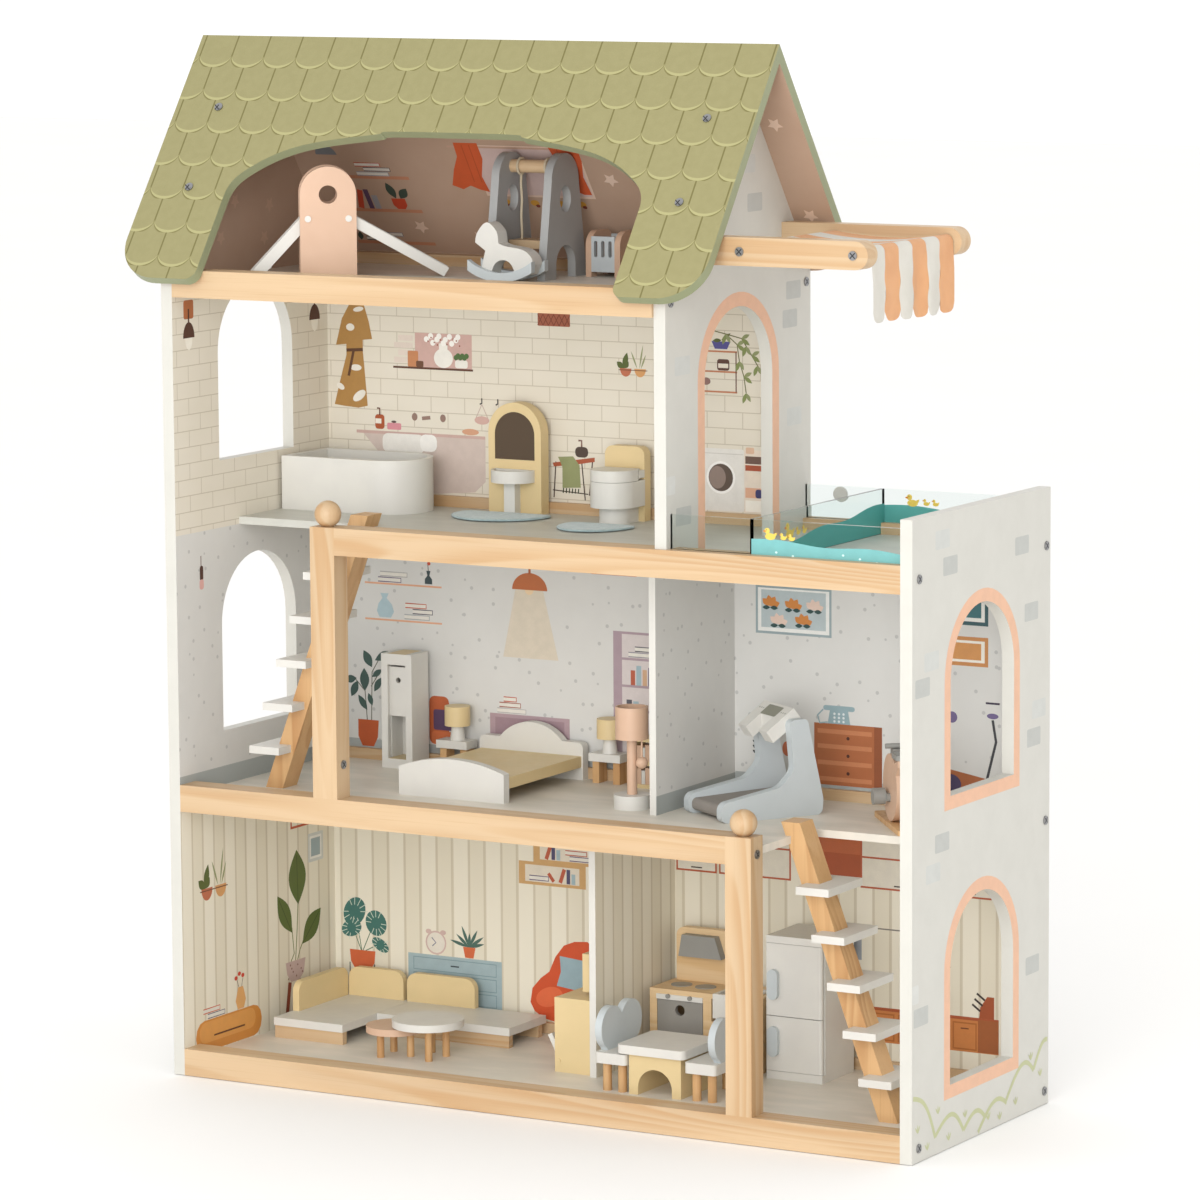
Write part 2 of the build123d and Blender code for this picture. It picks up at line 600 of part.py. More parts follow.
def toilet_bowl():
    x, half = TOILET["x"], TOILET["width"] / 2
    front, back = TOILET["front"], TOILET["panel_y"]
    foot = lying(d_shape(x - half + 6, x + half - 6, front + 8, back), SECOND, 13)
    bowl = lying(d_shape(x - half, x + half, front, back), SECOND + 13, 20.7)
    bowl -= lying(d_shape(x - half + 5, x + half - 5, front + 5, back - 8), SECOND + 16, 20)
    return foot + bowl


def toilet_back():
    outline = panel(TOILET["x"], SECOND, TOILET["width"] - 1, 59.5, 7)
    return facing_front(outline, TOILET["panel_y"], 10)


LID_PIVOT_Y, LID_PIVOT_Z = 202.5, 479.0
LID_THICKNESS = 9.0
PIVOT_RADIUS = 1.2
EAR = 2.4


def toilet_lid():
    """A thick lid that turns on a rod through its rounded back edge, between two ears."""
    x, half = TOILET["x"], TOILET["width"] / 2
    low, radius = LID_PIVOT_Z - LID_THICKNESS / 2, LID_THICKNESS / 2
    inner = half - EAR - 0.6
    lid = lying(d_shape(x - half, x + half, TOILET["front"], LID_PIVOT_Y - radius - 1), low, LID_THICKNESS)
    lid += block(x - inner, x + inner, LID_PIVOT_Y - radius - 1, LID_PIVOT_Y, low, low + LID_THICKNESS)
    lid += rod_x(x - inner, x + inner, LID_PIVOT_Y, LID_PIVOT_Z, radius)
    return lid - rod_x(x - half, x + half, LID_PIVOT_Y, LID_PIVOT_Z, PIVOT_RADIUS + PIN_CLEARANCE)


def toilet_hinge():
    """The rod and the ear at each end that hold it to the back board."""
    x, outer = TOILET["x"], TOILET["width"] / 2 - 0.3
    rod = rod_x(x - outer, x + outer, LID_PIVOT_Y, LID_PIVOT_Z, PIVOT_RADIUS)
    low, high = LID_PIVOT_Z - 3, LID_PIVOT_Z + 3
    ears = [block(x0, x0 + EAR, LID_PIVOT_Y - 3, TOILET["panel_y"], low, high) for x0 in (x - outer, x + outer - EAR)]
    return rod + ears[0] + ears[1]


def bath_mats():
    thickness = 1.2
    basin_mat = lying(d_shape(147, 231, 147, 198.5), SECOND, thickness)
    toilet_mat = lying(d_shape(262, 324, 122, 170), SECOND, thickness)
    return pieces(basin_mat, toilet_mat)


# Bedroom -----------------------------------------------------------------------------------------

WARDROBE = dict(x=69.5, y=192.0, width=29.0, depth=26.0, height=94.5, side=6.0, back=3.0)
WARDROBE_DOOR_LOW, WARDROBE_DOOR_TOP = FIRST + 43.0, FIRST + 83.5
DOOR_BOARD = 3.0
GROOVE = 1.5


def wardrobe():
    """Two sides with a groove each, a top, a base and a back."""
    w = WARDROBE
    x0, x1, y0, y1 = w["x"], w["x"] + w["width"], w["y"], w["y"] + w["depth"]
    groove_y = y0 + 3.0
    groove_low = FIRST + 8.5
    sides = []
    for side_x in (x0, x1 - w["side"]):
        side = block(side_x, side_x + w["side"], y0, y1, FIRST, FIRST + w["height"])
        side -= block(x0 + w["side"] - GROOVE, x1 - w["side"] + GROOVE, groove_y - 0.2, groove_y + DOOR_BOARD + 0.2,
                      groove_low, WARDROBE_DOOR_TOP + 1)
        sides.append(side)
    inner0, inner1 = x0 + w["side"], x1 - w["side"]
    top = block(inner0, inner1, y0, y1, FIRST + w["height"] - 9, FIRST + w["height"])
    base = block(inner0, inner1, y0, y1, FIRST, FIRST + 8)
    back = block(inner0, inner1, y1 - w["back"], y1, FIRST + 8, FIRST + w["height"] - 9)
    return pieces(*sides), pieces(top, base, back)


def wardrobe_door():
    w = WARDROBE
    x0 = w["x"] + w["side"] - GROOVE + 0.3
    x1 = w["x"] + w["width"] - w["side"] + GROOVE - 0.3
    y0 = w["y"] + 3.0
    door = block(x0, x1, y0, y0 + DOOR_BOARD, WARDROBE_DOOR_LOW, WARDROBE_DOOR_TOP)
    return door - rod_y(y0, y0 + DOOR_BOARD, w["x"] + w["width"] / 2, FIRST + 72.5, 2.3)


BED = dict(x0=150.0, x1=247.0, foot_y=88.0, head_y=213.0, board=8.4)


def bed_boards():
    """A low round-topped footboard and a headboard with a raised arch."""
    x0, x1 = BED["x0"], BED["x1"]
    mid, width = (x0 + x1) / 2, x1 - x0
    shoulder, crown = FIRST + 23, FIRST + 31.8
    crest = ThreePointArc((x0, shoulder), (mid, crown), (x1, shoulder))
    foot = make_face(crest + Polyline((x1, shoulder), (x1, FIRST), (x0, FIRST), (x0, shoulder)))
    head = panel(mid, FIRST, width, 30.5, 5)
    arch_radius = 38.0
    head += Pos(mid, FIRST + 44 - arch_radius) * Circle(arch_radius) & panel(mid, FIRST + 20, width, 40)
    return pieces(facing_front(foot, BED["foot_y"], BED["board"]), facing_front(head, BED["head_y"], BED["board"]))


def mattress():
    y0, y1 = BED["foot_y"] + BED["board"], BED["head_y"]
    return block(BED["x0"] + 1.5, BED["x1"] - 1.5, y0, y1, FIRST + 10.5, FIRST + 19.5)


BEDSIDE_X = (114.0, 257.3)
BEDSIDE_Y = 204.0


def bedside_table(x0):
    """A thick white top on two wooden blocks."""
    width, depth, top, thickness, leg = 29.0, 16.5, 24.5, 6.5, 6.0
    legs = [block(x, x + leg, BEDSIDE_Y + 3, BEDSIDE_Y + depth - 1, FIRST, FIRST + top - thickness)
            for x in (x0 + 2, x0 + width - 2 - leg)]
    slab = block(x0, x0 + width, BEDSIDE_Y, BEDSIDE_Y + depth, FIRST + top - thickness, FIRST + top)
    return pieces(slab, *legs)


def table_lamp(x, y, floor):
    """A tapering base under a drum shade."""
    base = Pos(x, y, floor) * Cone(6.2, 4.8, 12, align=(Align.CENTER, Align.CENTER, Align.MIN))
    shade = rod_z(floor + 12, floor + 28, x, y, 10.5)
    return base, shade


FLOOR_LAMP_X, FLOOR_LAMP_Y = 345.0, 120.0


def floor_lamp():
    """A round foot, a pole, a shade open at both ends and a pull with a ball."""
    x, y = FLOOR_LAMP_X, FLOOR_LAMP_Y
    foot = rod_z(FIRST, FIRST + 11, x, y, 14.5)
    spider, low, high = FIRST + 66.0, FIRST + 55.0, FIRST + 80.5
    pole = rod_z(FIRST + 11, spider, x, y, 4.0)
    shade = rod_z(low, high, x, y, 13.0) - rod_z(low, high, x, y, 11.4)
    shade += rod_z(spider, spider + 2, x, y, 12.0)
    pull_x, ball_z = x + 8.9, FIRST + 36.5
    pull = rod_z(ball_z, spider, pull_x, y, 0.8) + Pos(pull_x, y, ball_z) * Sphere(4.8)
    return foot, pole, shade, pull


BOOKCASE = dict(x0=297.0, x1=333.0, y0=202.0, y1=220.0, height=40.5)


def bookcase():
    """Two sides, three shelves and the books on them."""
    b = BOOKCASE
    side, shelf = 4.0, 3.0
    boards = [block(x, x + side, b["y0"], b["y1"], FIRST, FIRST + b["height"]) for x in (b["x0"], b["x1"] - side)]
    inner0, inner1 = b["x0"] + side, b["x1"] - side
    levels = (0.0, 18.5, b["height"] - shelf)
    for level in levels:
        boards.append(block(inner0, inner1, b["y0"], b["y1"], FIRST + level, FIRST + level + shelf))
    books = []
    for level in levels[:2]:
        x = inner0 + 0.6
        for width, height in ((4.2, 12.5), (3.2, 11.0), (5.0, 13.2), (3.4, 12.0), (4.4, 11.4), (3.0, 12.8)):
            base = FIRST + level + shelf
            books.append(block(x, x + width, b["y0"] + 2, b["y1"] - 3, base, base + height))
            x += width + 0.3
    return pieces(*boards), pieces(*books)


# Gym ---------------------------------------------------------------------------------------------

TREADMILL_CORNER = (389.6, 122.7)
TREADMILL_TURN = -33.0
TREADMILL_WIDTH, TREADMILL_BOARD = 62.0, 8.0
TREADMILL_ROUNDS = {(0, 0): 5, (0, 15): 7, (89, 0): 5, (90, 12): 12, (76, 76): 4, (60, 76): 5, (64, 36): 12,
                    (52, 24): 12}


def treadmill():
    """Two L-shaped sides, the running deck and the console across the uprights."""
    side = polygon((0, 0), (89, 0), (90, 12), (76, 76), (60, 76), (64, 36), (52, 24), (0, 15))
    for (y, z), radius in TREADMILL_ROUNDS.items():
        corner = [v for v in side.vertices() if hypot(v.X - y, v.Y - z) < 0.1]
        side = fillet(corner, radius)
    boards = [facing_side(side, x, TREADMILL_BOARD) for x in (0, TREADMILL_WIDTH - TREADMILL_BOARD)]
    inner0, inner1 = TREADMILL_BOARD, TREADMILL_WIDTH - TREADMILL_BOARD
    deck = facing_side(polygon((3, 2), (84, 8), (84, 15), (3, 12)), inner0, inner1 - inner0)
    deck = fillet(deck.edges().filter_by(Axis.X).sort_by(Axis.Y)[:2], 4)
    slope = polygon((44, 67), (68, 84), (75, 75), (50, 58))
    console = facing_side(slope, inner0, inner1 - inner0)
    console -= block(inner0 + 13, inner1 - 13, 30, 58, 50, 90)
    place = Pos(*TREADMILL_CORNER, FIRST) * Rot(0, 0, TREADMILL_TURN)
    return place * pieces(*boards), place * deck, place * console


BIKE_PLACE = (565.0, 146.6)
BIKE_TURN = -51.3
CRANK_Z = FIRST + 22.0
BIKE_BODY = 14.0


def exercise_bike():
    """A thick round-topped body on a long base board, with a seat and a handlebar on a post."""
    base_top, seat_low, post_top = 4.0, 55.0, 59.0
    axle_z, hole = 22.0, 3.4
    body = Pos(0, 30) * Circle(26) & Pos(0, 50 + base_top) * Rectangle(80, 100)
    body += polygon((6, 48), (30, seat_low), (30, 50), (18, 38))
    body -= Pos(0, axle_z) * Circle(hole) + Pos(24, seat_low + 10) * Rectangle(36, 20)
    post = Pos(-7, post_top - 5) * Rectangle(9, 10) - body
    base = rounded_board(-46, 46, -10, 10, 0, base_top, 3)
    seat = rounded_board(7, 31, -8, 8, seat_low, seat_low + 4, 5)
    handle = rod_y(-9, 9, -7, post_top + 2, 2.0)
    place = Pos(*BIKE_PLACE, FIRST) * Rot(0, 0, BIKE_TURN)
    board = facing_front(body, -BIKE_BODY / 2, BIKE_BODY)
    return place * board, place * base, place * pieces(seat, facing_front(post, -4, 8), handle)


def bike_pedals():
    """The crank shaft with an arm and a round pedal at each end."""
    shaft_radius = 3.4 - PIN_CLEARANCE
    half = BIKE_BODY / 2 + 0.4
    axle_z, reach, arm_thickness, pedal_radius, pedal_length = 22.0, 8.0, 2.0, 6.5, 9.5
    crank = rod_y(-half, half, 0, axle_z, shaft_radius)
    for side in (-1, 1):
        y0, y1 = (-half - arm_thickness, -half) if side < 0 else (half, half + arm_thickness)
        arm = facing_front(Pos(side * reach / 2, axle_z) * RectangleRounded(reach + 6, 6, 2.9), y0, arm_thickness)
        p0, p1 = (y0 - pedal_length, y0) if side < 0 else (y1, y1 + pedal_length)
        crank += arm + rod_y(p0, p1, side * reach, axle_z, pedal_radius)
    return Pos(*BIKE_PLACE, FIRST) * Rot(0, 0, BIKE_TURN) * crank


# Living room -------------------------------------------------------------------------------------

SOFA_LOW, SOFA_SEAT = GROUND + 10.3, GROUND + 16.8


def sofa():
    """An L of seat boards on low bases, with three round-cornered backs."""
    chaise = block(17, 83, 105, 215.5, SOFA_LOW, SOFA_SEAT)
    bench = block(83.3, 209, 157, 215.5, SOFA_LOW, SOFA_SEAT)
    bases = [block(17.5, 82.5, 106, 112, GROUND, SOFA_LOW), block(17.5, 82.5, 207, 213, GROUND, SOFA_LOW),
             block(90, 208, 158, 164, GROUND, SOFA_LOW), block(90, 208, 205, 211, GROUND, SOFA_LOW)]
    back_height = 24.2
    corner = 9.0
    side_back = facing_side(panel(171.5, SOFA_SEAT, 75, back_height, corner), 17, 6)
    backs = [facing_front(panel(mid, SOFA_SEAT, width, back_height, corner), 209.5, 6)
             for mid, width in ((50.0, 53.0), (112.5, 65.0))]
    return pieces(*bases), pieces(chaise, bench), pieces(side_back, *backs)


def round_table(x, y, legs, top, thickness, radius):
    """A round top on three dowel legs."""
    leg_radius = 3.0
    slab = rod_z(GROUND + top - thickness, GROUND + top, x, y, radius)
    dowels = [rod_z(GROUND, GROUND + top - thickness, lx, ly, leg_radius) for lx, ly in legs]
    return slab, dowels


def coffee_tables():
    """The higher table's round top reaches over the lower one's."""
    low_legs = ((133.7, 82.0), (131.2, 106.0), (153.0, 96.5))
    high_legs = ((175.4, 87.6), (178.0, 110.0), (160.0, 117.5))
    low_top, low_dowels = round_table(139, 95, low_legs, 25.0, 5.5, 23.0)
    high_top, high_dowels = round_table(168, 99, high_legs, 32.1, 6.0, 29.0)
    return low_top, high_top, pieces(*low_dowels, *high_dowels)


CABINET = dict(x0=283.0, x1=317.0, y0=103.0, y1=183.0, height=60.0, board=5.0)
FLAP_PIVOT = (286.5, GROUND + 9.0)
FLAP_TILT = 27.0
FLAP_HEIGHT = 22.5


def tv_cabinet():
    """A low cabinet whose front faces left: ends, top, base, back and shelf, with a pin for its flap."""
    c = CABINET
    top = GROUND + c["height"]
    b = c["board"]
    outline = panel((c["x0"] + c["x1"]) / 2, GROUND, c["x1"] - c["x0"], c["height"])
    ends = [facing_front(outline, y, b) for y in (c["y0"], c["y1"] - b)]
    y0, y1 = c["y0"] + b, c["y1"] - b
    boards = [block(c["x0"] + 0.5, c["x1"], y0, y1, top - b, top),
              block(c["x0"] + 9, c["x1"], y0, y1, GROUND, GROUND + 4),
              block(c["x1"] - 3, c["x1"], y0, y1, GROUND + 4, top - b),
              block(c["x0"] + 1, c["x1"] - 3, y0, y1, GROUND + 33, GROUND + 37)]
    px, pz = FLAP_PIVOT
    pin = rod_y(c["y0"] - 0.6, c["y1"] + 0.6, px, pz, 1.8)
    ends = [end - pin for end in ends]
    return pieces(*ends, *boards), pin


def tv_flap():
    """The drop flap, standing ajar, with a round lower edge that turns on the pin."""
    c = CABINET
    px, pz = FLAP_PIVOT
    y0, y1 = c["y0"] + c["board"] + 0.4, c["y1"] - c["board"] - 0.4
    flap = block(px - 3, px + 1, y0, y1, pz, pz + FLAP_HEIGHT) + rod_y(y0, y1, px, pz, 3.0)
    flap -= rod_y(y0, y1, px, pz, 1.8 + PIN_CLEARANCE)
    return Pos(px, 0, pz) * Rot(0, -FLAP_TILT, 0) * Pos(-px, 0, -pz) * flap


def television():
    """A thick frame round the screen, on a foot."""
    low = GROUND + CABINET["height"]
    frame = block(299.5, 305.5, 119, 175, low + 3, low + 33.5) - block(299.5, 300.5, 122, 172, low + 6.5, low + 30)
    foot = block(296, 309, 133, 161, low, low + 3)
    return frame, foot


# Kitchen -----------------------------------------------------------------------------------------

COOKER = dict(x0=331.7, x1=432.0, y0=170.0, y1=215.0, top=GROUND + 60.3)
OVEN_X = (338.2, 380.0)
OVEN_LOW, OVEN_TOP = GROUND + 14.0, GROUND + 51.6
OVEN_DOOR = 4.0
SINK_X = (389.5, 425.0)
SINK_BACK = 202.0
OVEN_PIVOT_Z = OVEN_LOW + 2.0


def cooker():
    """A worktop on three uprights, with an oven space, a tall hood board and a plinth."""
    c = COOKER
    left, right = OVEN_X
    y0, y1 = c["y0"], c["y1"]
    back_y = y1 - 7
    under = c["top"] - 4
    worktop = block(c["x0"], c["x1"], y0, back_y, under, c["top"])
    worktop -= block(SINK_X[0] - 0.3, SINK_X[1] + 0.3, y0, SINK_BACK + 0.3, under, c["top"])
    uprights = [block(x0, x1, y0, back_y, GROUND, under)
                for x0, x1 in ((c["x0"], left), (right, right + 7.5), (c["x1"] - 5, c["x1"]))]
    plinth = block(left, right, y0 + OVEN_DOOR + 0.4, back_y, GROUND, OVEN_LOW - 1)
    oven_back = block(left, right, back_y - 4, back_y, OVEN_LOW - 1, under)
    sink_front = block(right + 7.5, c["x1"] - 5, y0, y0 + 4, GROUND, GROUND + 38)
    tall_board = facing_front(panel(c["x0"] + 28, GROUND, 49, 103.5, 7), back_y, 7)
    low_boards = block(c["x0"], c["x1"], back_y, y1, GROUND, c["top"]) - tall_board
    return pieces(worktop, *uprights, plinth, oven_back, sink_front, low_boards, tall_board)


def cooker_fittings():
    """The knob strip with two knobs, the hob plates, the hood and the sink."""
    c = COOKER
    left, right = OVEN_X
    y0, top = c["y0"], c["top"]
    strip = block(left, right, y0 - 1.2, y0 + 4, OVEN_TOP + 0.6, top - 4)
    knobs = [rod_y(y0 - 3, y0 - 1.2, x, OVEN_TOP + 3.5, 1.8) for x in (left + 11, right - 11)]
    plates = [rod_z(top, top + 0.6, x, y0 + 21, 8.5) for x in (left + 11, right - 9)]
    hood = facing_front(polygon((left + 3, top + 21), (right, top + 21), (right - 6, top + 38.5),
                                (left + 6, top + 38.5)), c["y1"] - 15, 8)
    x0, x1 = SINK_X
    sink = block(x0, x1, y0 - 1.5, SINK_BACK, top - 19, top + 0.6)
    sink -= block(x0 + 3, x1 - 3, y0 + 2, SINK_BACK - 3, top - 16, top + 1)
    return pieces(strip, *knobs), pieces(*plates), pieces(hood), pieces(sink)


def oven_door():
    """A drop door on a rod through its rounded lower edge."""
    left, right = OVEN_X
    x0, x1 = left + 0.4, right - 0.4
    y_mid = COOKER["y0"] + OVEN_DOOR / 2
    door = block(x0, x1, y_mid - 2, y_mid + 2, OVEN_PIVOT_Z, OVEN_TOP)
    door += rod_x(x0, x1, y_mid, OVEN_PIVOT_Z, 2.0)
    door -= rod_y(y_mid - 3, y_mid + 3, (left + right) / 2, OVEN_TOP - 7.5, 4.3)
    return door - rod_x(x0, x1, y_mid, OVEN_PIVOT_Z, 1.0 + PIN_CLEARANCE)


def oven_rod():
    left, right = OVEN_X
    return rod_x(left, right, COOKER["y0"] + OVEN_DOOR / 2, OVEN_PIVOT_Z, 1.0)


TABLE = dict(x0=364.0, x1=424.0, y0=58.0, y1=118.0, top=39.0, slab=7.0)


def dining_table():
    """A round-cornered top on a hollow arched base."""
    t = TABLE
    slab = rounded_board(t["x0"], t["x1"], t["y0"], t["y1"], GROUND + t["top"] - t["slab"], GROUND + t["top"], 5)
    mid = (t["x0"] + t["x1"]) / 2
    height = t["top"] - t["slab"]
    outline = panel(mid + 2.5, GROUND, 46, height) - arch(mid + 2.5, GROUND, 30, 21)
    base = facing_front(outline, t["y0"] + 4, t["y1"] - t["y0"] - 6)
    return slab, base


CHAIR_DEPTH, CHAIR_WIDTH, CHAIR_SEAT, CHAIR_SLAB = 27.5, 64.0, 31.0, 8.5
CHAIR_Y = 90.0


def chair(back_x, direction):
    """Seat, four dowel legs and a heart-shaped back; direction points from the back to the table."""
    y0, y1 = CHAIR_Y - CHAIR_WIDTH / 2, CHAIR_Y + CHAIR_WIDTH / 2
    x0, x1 = sorted((back_x, back_x + direction * CHAIR_DEPTH))
    top = GROUND + CHAIR_SEAT
    seat = rounded_board(x0, x1, y0, y1, top - CHAIR_SLAB, top, 3)
    legs = [rod_z(GROUND, top - CHAIR_SLAB, x, y, 3.5) for x in (x0 + 7, x1 - 7) for y in (y0 + 8, y1 - 8)]
    lobe, apart, lobe_z = 17.0, 15.0, top + 16.5
    tip = 22.0
    heart = polygon((CHAIR_Y - tip, top), (CHAIR_Y + tip, top), (CHAIR_Y + apart + lobe - 0.6, lobe_z - 4),
                    (CHAIR_Y, lobe_z + 8), (CHAIR_Y - apart - lobe + 0.6, lobe_z - 4))
    for side in (-apart, apart):
        heart += Pos(CHAIR_Y + side, lobe_z + 0.5) * Circle(lobe)
    thickness = 6.0
    heart_x = back_x + 0.5 if direction > 0 else back_x - 0.5 - thickness
    return seat, facing_side(heart, heart_x, thickness), pieces(*legs)


FRIDGE = dict(x0=441.7, x1=491.0, y0=161.0, y1=215.0, top=GROUND + 114.5)
FRIDGE_DOOR = 5.0
FRIDGE_BASE = 6.5
FRIDGE_CAP = 5.7
FRIDGE_SPLIT = GROUND + 50.6
HINGE_X, HINGE_Y = 488.0, 163.5


def fridge():
    """Cream top and base, white sides and back, and a shelf between the compartments."""
    f = FRIDGE
    x0, x1, y0, y1 = f["x0"], f["x1"], f["y0"], f["y1"]
    body_y = y0 + FRIDGE_DOOR + 0.4
    low, high = GROUND + FRIDGE_BASE, f["top"] - FRIDGE_CAP
    cap = block(x0, x1, y0, y1, high, f["top"])
    base = block(x0, x1, y0, y1, GROUND, low)
    sides = [block(x, x + 4, body_y, y1, low, high) for x in (x0, x1 - 4)]
    back = block(x0 + 4, x1 - 4, y1 - 4, y1, low, high)
    shelf = block(x0 + 4, x1 - 4, body_y, y1 - 4, FRIDGE_SPLIT - 2, FRIDGE_SPLIT + 2)
    rod = rod_z(low, high, HINGE_X, HINGE_Y, 1.2)
    return pieces(cap, base), pieces(*sides, back, shelf, rod)


def fridge_door(low, high, handle_low):
    f = FRIDGE
    x0, y0 = f["x0"], f["y0"]
    gap = 0.3
    door = block(x0, HINGE_X, y0, y0 + FRIDGE_DOOR, low + gap, high - gap)
    door += rod_z(low + gap, high - gap, HINGE_X, HINGE_Y, FRIDGE_DOOR / 2)
    door -= rod_z(low, high, HINGE_X, HINGE_Y, 1.2 + PIN_CLEARANCE)
    handle = facing_front(Pos(x0 + 7, handle_low + 12) * SlotOverall(24, 9, rotation=90), y0 - 4, 4)
    return pieces(door, handle)


# All pieces --------------------------------------------------------------------------------------

def all_nodes():
    nodes = {
        "left_wall": left_wall(),
        "tall_wall": tall_wall(),
        "right_wall": right_wall(),
        "ground_floor": floor_panel(0, INNER_WIDTH),
        "first_floor": floor_panel(1, INNER_WIDTH, FIRST_NOTCH),
        "second_floor": floor_panel(2, INNER_WIDTH, SECOND_NOTCH),
        "attic_floor": floor_panel(3, BATH_WIDTH),
        "ground_rail": front_rail(0, 0, INNER_WIDTH),
        "first_rail": front_rail(1, 0, RIGHT_POST_X),
        "second_rail": front_rail(2, LEFT_POST_X + POST_WIDTH, INNER_WIDTH),
        "attic_rail": front_rail(3, 0, BATH_WIDTH),
        "back_rails": back_rails(),
        "back_panels": pieces(*[back_panel(level) for level in range(3)]),
        "partitions": pieces(partition(0, GROUND_PARTITION_X), partition(1, FIRST_PARTITION_X)),
        "front_roof": front_roof(),
        "back_roof": back_roof(),
        "left_post": post(LEFT_POST_X, RAIL_TOPS[1], RAIL_TOPS[2]),
        "right_post": post(RIGHT_POST_X, RAIL_TOPS[0], RAIL_TOPS[1]),
        "awning_frame": awning_frame(),
        "awning_cloth": awning_cloth(),
        "screws": screws(),
        "slide_tower": TOWER_PLACE * pieces(tower_boards(), tower_pins()),
        "slide_ladder": TOWER_PLACE * toy_ladder(),
        "slide_chute": TOWER_PLACE * chute(),
        "swing_frame": swing_frame(),
        "rocking_horse": pieces(horse_rockers(), horse_body()),
        "bathtub": bathtub(),
        "toilet": pieces(toilet_bowl(), toilet_back(), toilet_hinge()),
        "toilet_lid": toilet_lid(),
        "bath_mats": bath_mats(),
        "wardrobe_door": wardrobe_door(),
        "bed": pieces(bed_boards(), mattress()),
        "oven_door": oven_door(),
        "tv_cabinet_flap": tv_flap(),
        "bike_pedals": bike_pedals(),
    }
    nodes["left_ladder"] = ladder(LEFT_LADDER_X, FIRST, LADDER_LEAN, nodes["second_floor"])
    nodes["right_ladder"] = ladder(RIGHT_LADDER_X, GROUND, -LADDER_LEAN, nodes["first_floor"])
    nodes["pool_panels"] = pieces(*pool_panels())
    nodes["swing_seat"], nodes["swing_ropes"] = swing_seat()
    nodes["crib"] = pieces(*crib())
    nodes["washstand"] = pieces(*washstand())
    sides, boards = wardrobe()
    nodes["wardrobe"] = pieces(sides, boards)
    tables = [bedside_table(x0) for x0 in BEDSIDE_X]
    lamps = [table_lamp(x0 + dx, BEDSIDE_Y + 8.2, FIRST + 24.5) for x0, dx in zip(BEDSIDE_X, (15.7, 15.2))]
    nodes["bedside_tables"] = pieces(*tables)
    nodes["table_lamps"] = pieces(*[piece for lamp in lamps for piece in lamp])
    nodes["floor_lamp"] = pieces(*floor_lamp())
    shelves, books = bookcase()
    nodes["bookcase"] = pieces(shelves, books)
    nodes["treadmill"] = pieces(*treadmill())
    nodes["exercise_bike"] = pieces(*exercise_bike())
    nodes["sofa"] = pieces(*sofa())
    nodes["coffee_tables"] = pieces(*coffee_tables())
    cabinet, flap_pin = tv_cabinet()
    nodes["tv_cabinet"] = pieces(cabinet, flap_pin)
    nodes["television"] = pieces(*television())
    nodes["cooker"] = pieces(cooker(), *cooker_fittings(), oven_rod())
    nodes["dining_table"] = pieces(*dining_table())
    nodes["chair_left"] = pieces(*chair(345.0, 1))
    nodes["chair_right"] = pieces(*chair(452.0, -1))
    caps, body = fridge()
    nodes["fridge"] = pieces(caps, body)
    low, high = GROUND + FRIDGE_BASE, FRIDGE["top"] - FRIDGE_CAP
    nodes["fridge_lower_door"] = fridge_door(low, FRIDGE_SPLIT, GROUND + 18.4)
    nodes["fridge_upper_door"] = fridge_door(FRIDGE_SPLIT, high, GROUND + 64.0)
    return nodes


os.makedirs("parts", exist_ok=True)
to_origin = Pos(-(ROOF_LEFT + INNER_WIDTH + WALL + SCREW_HEAD) / 2, -MIDDLE, 0)
for name, shape in all_nodes().items():
    export_step(to_origin * shape, f"parts/{name}.step")
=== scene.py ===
"""A furnished wooden doll's house: its materials, printed pictures, cloth, ropes, light and camera."""

from math import cos, pi, radians, sin, sqrt

import bpy
from mathutils import Matrix, Vector, geometry


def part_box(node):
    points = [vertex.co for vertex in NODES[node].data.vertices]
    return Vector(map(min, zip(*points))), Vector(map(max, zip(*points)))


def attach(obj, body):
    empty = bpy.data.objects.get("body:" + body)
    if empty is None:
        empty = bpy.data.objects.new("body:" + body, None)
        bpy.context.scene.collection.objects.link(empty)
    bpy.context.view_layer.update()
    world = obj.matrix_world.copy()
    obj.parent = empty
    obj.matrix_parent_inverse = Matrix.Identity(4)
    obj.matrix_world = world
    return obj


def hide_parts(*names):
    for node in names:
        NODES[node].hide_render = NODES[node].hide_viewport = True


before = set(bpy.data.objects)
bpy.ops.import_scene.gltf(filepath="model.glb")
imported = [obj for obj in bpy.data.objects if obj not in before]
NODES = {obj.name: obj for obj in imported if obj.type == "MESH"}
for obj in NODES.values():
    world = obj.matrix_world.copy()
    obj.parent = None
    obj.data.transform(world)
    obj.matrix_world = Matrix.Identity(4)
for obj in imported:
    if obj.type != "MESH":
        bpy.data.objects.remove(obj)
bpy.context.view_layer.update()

MM = 0.001
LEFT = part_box("left_wall")[1].x        # the inner face of the left wall
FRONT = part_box("left_wall")[0].y       # the front edges of the walls
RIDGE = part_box("front_roof")[1].z
MIDDLE = (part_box("left_wall")[0].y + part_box("left_wall")[1].y) / 2


def at(x, y, z):
    """A point of the house, in mm from the left wall's inner face, the front and the ground."""
    return Vector((LEFT + x * MM, FRONT + y * MM, z * MM))


def house(point):
    """The other way round: mm from the left wall, the front and the ground."""
    return Vector(((point.x - LEFT) / MM, (point.y - FRONT) / MM, point.z / MM))


def height(node):
    """The top of a node, in mm."""
    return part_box(node)[1].z / MM


GROUND, FIRST, SECOND, ATTIC = [height(n) for n in ("ground_floor", "first_floor", "second_floor",
                                                    "attic_floor")]


# Shader building ---------------------------------------------------------------------------------

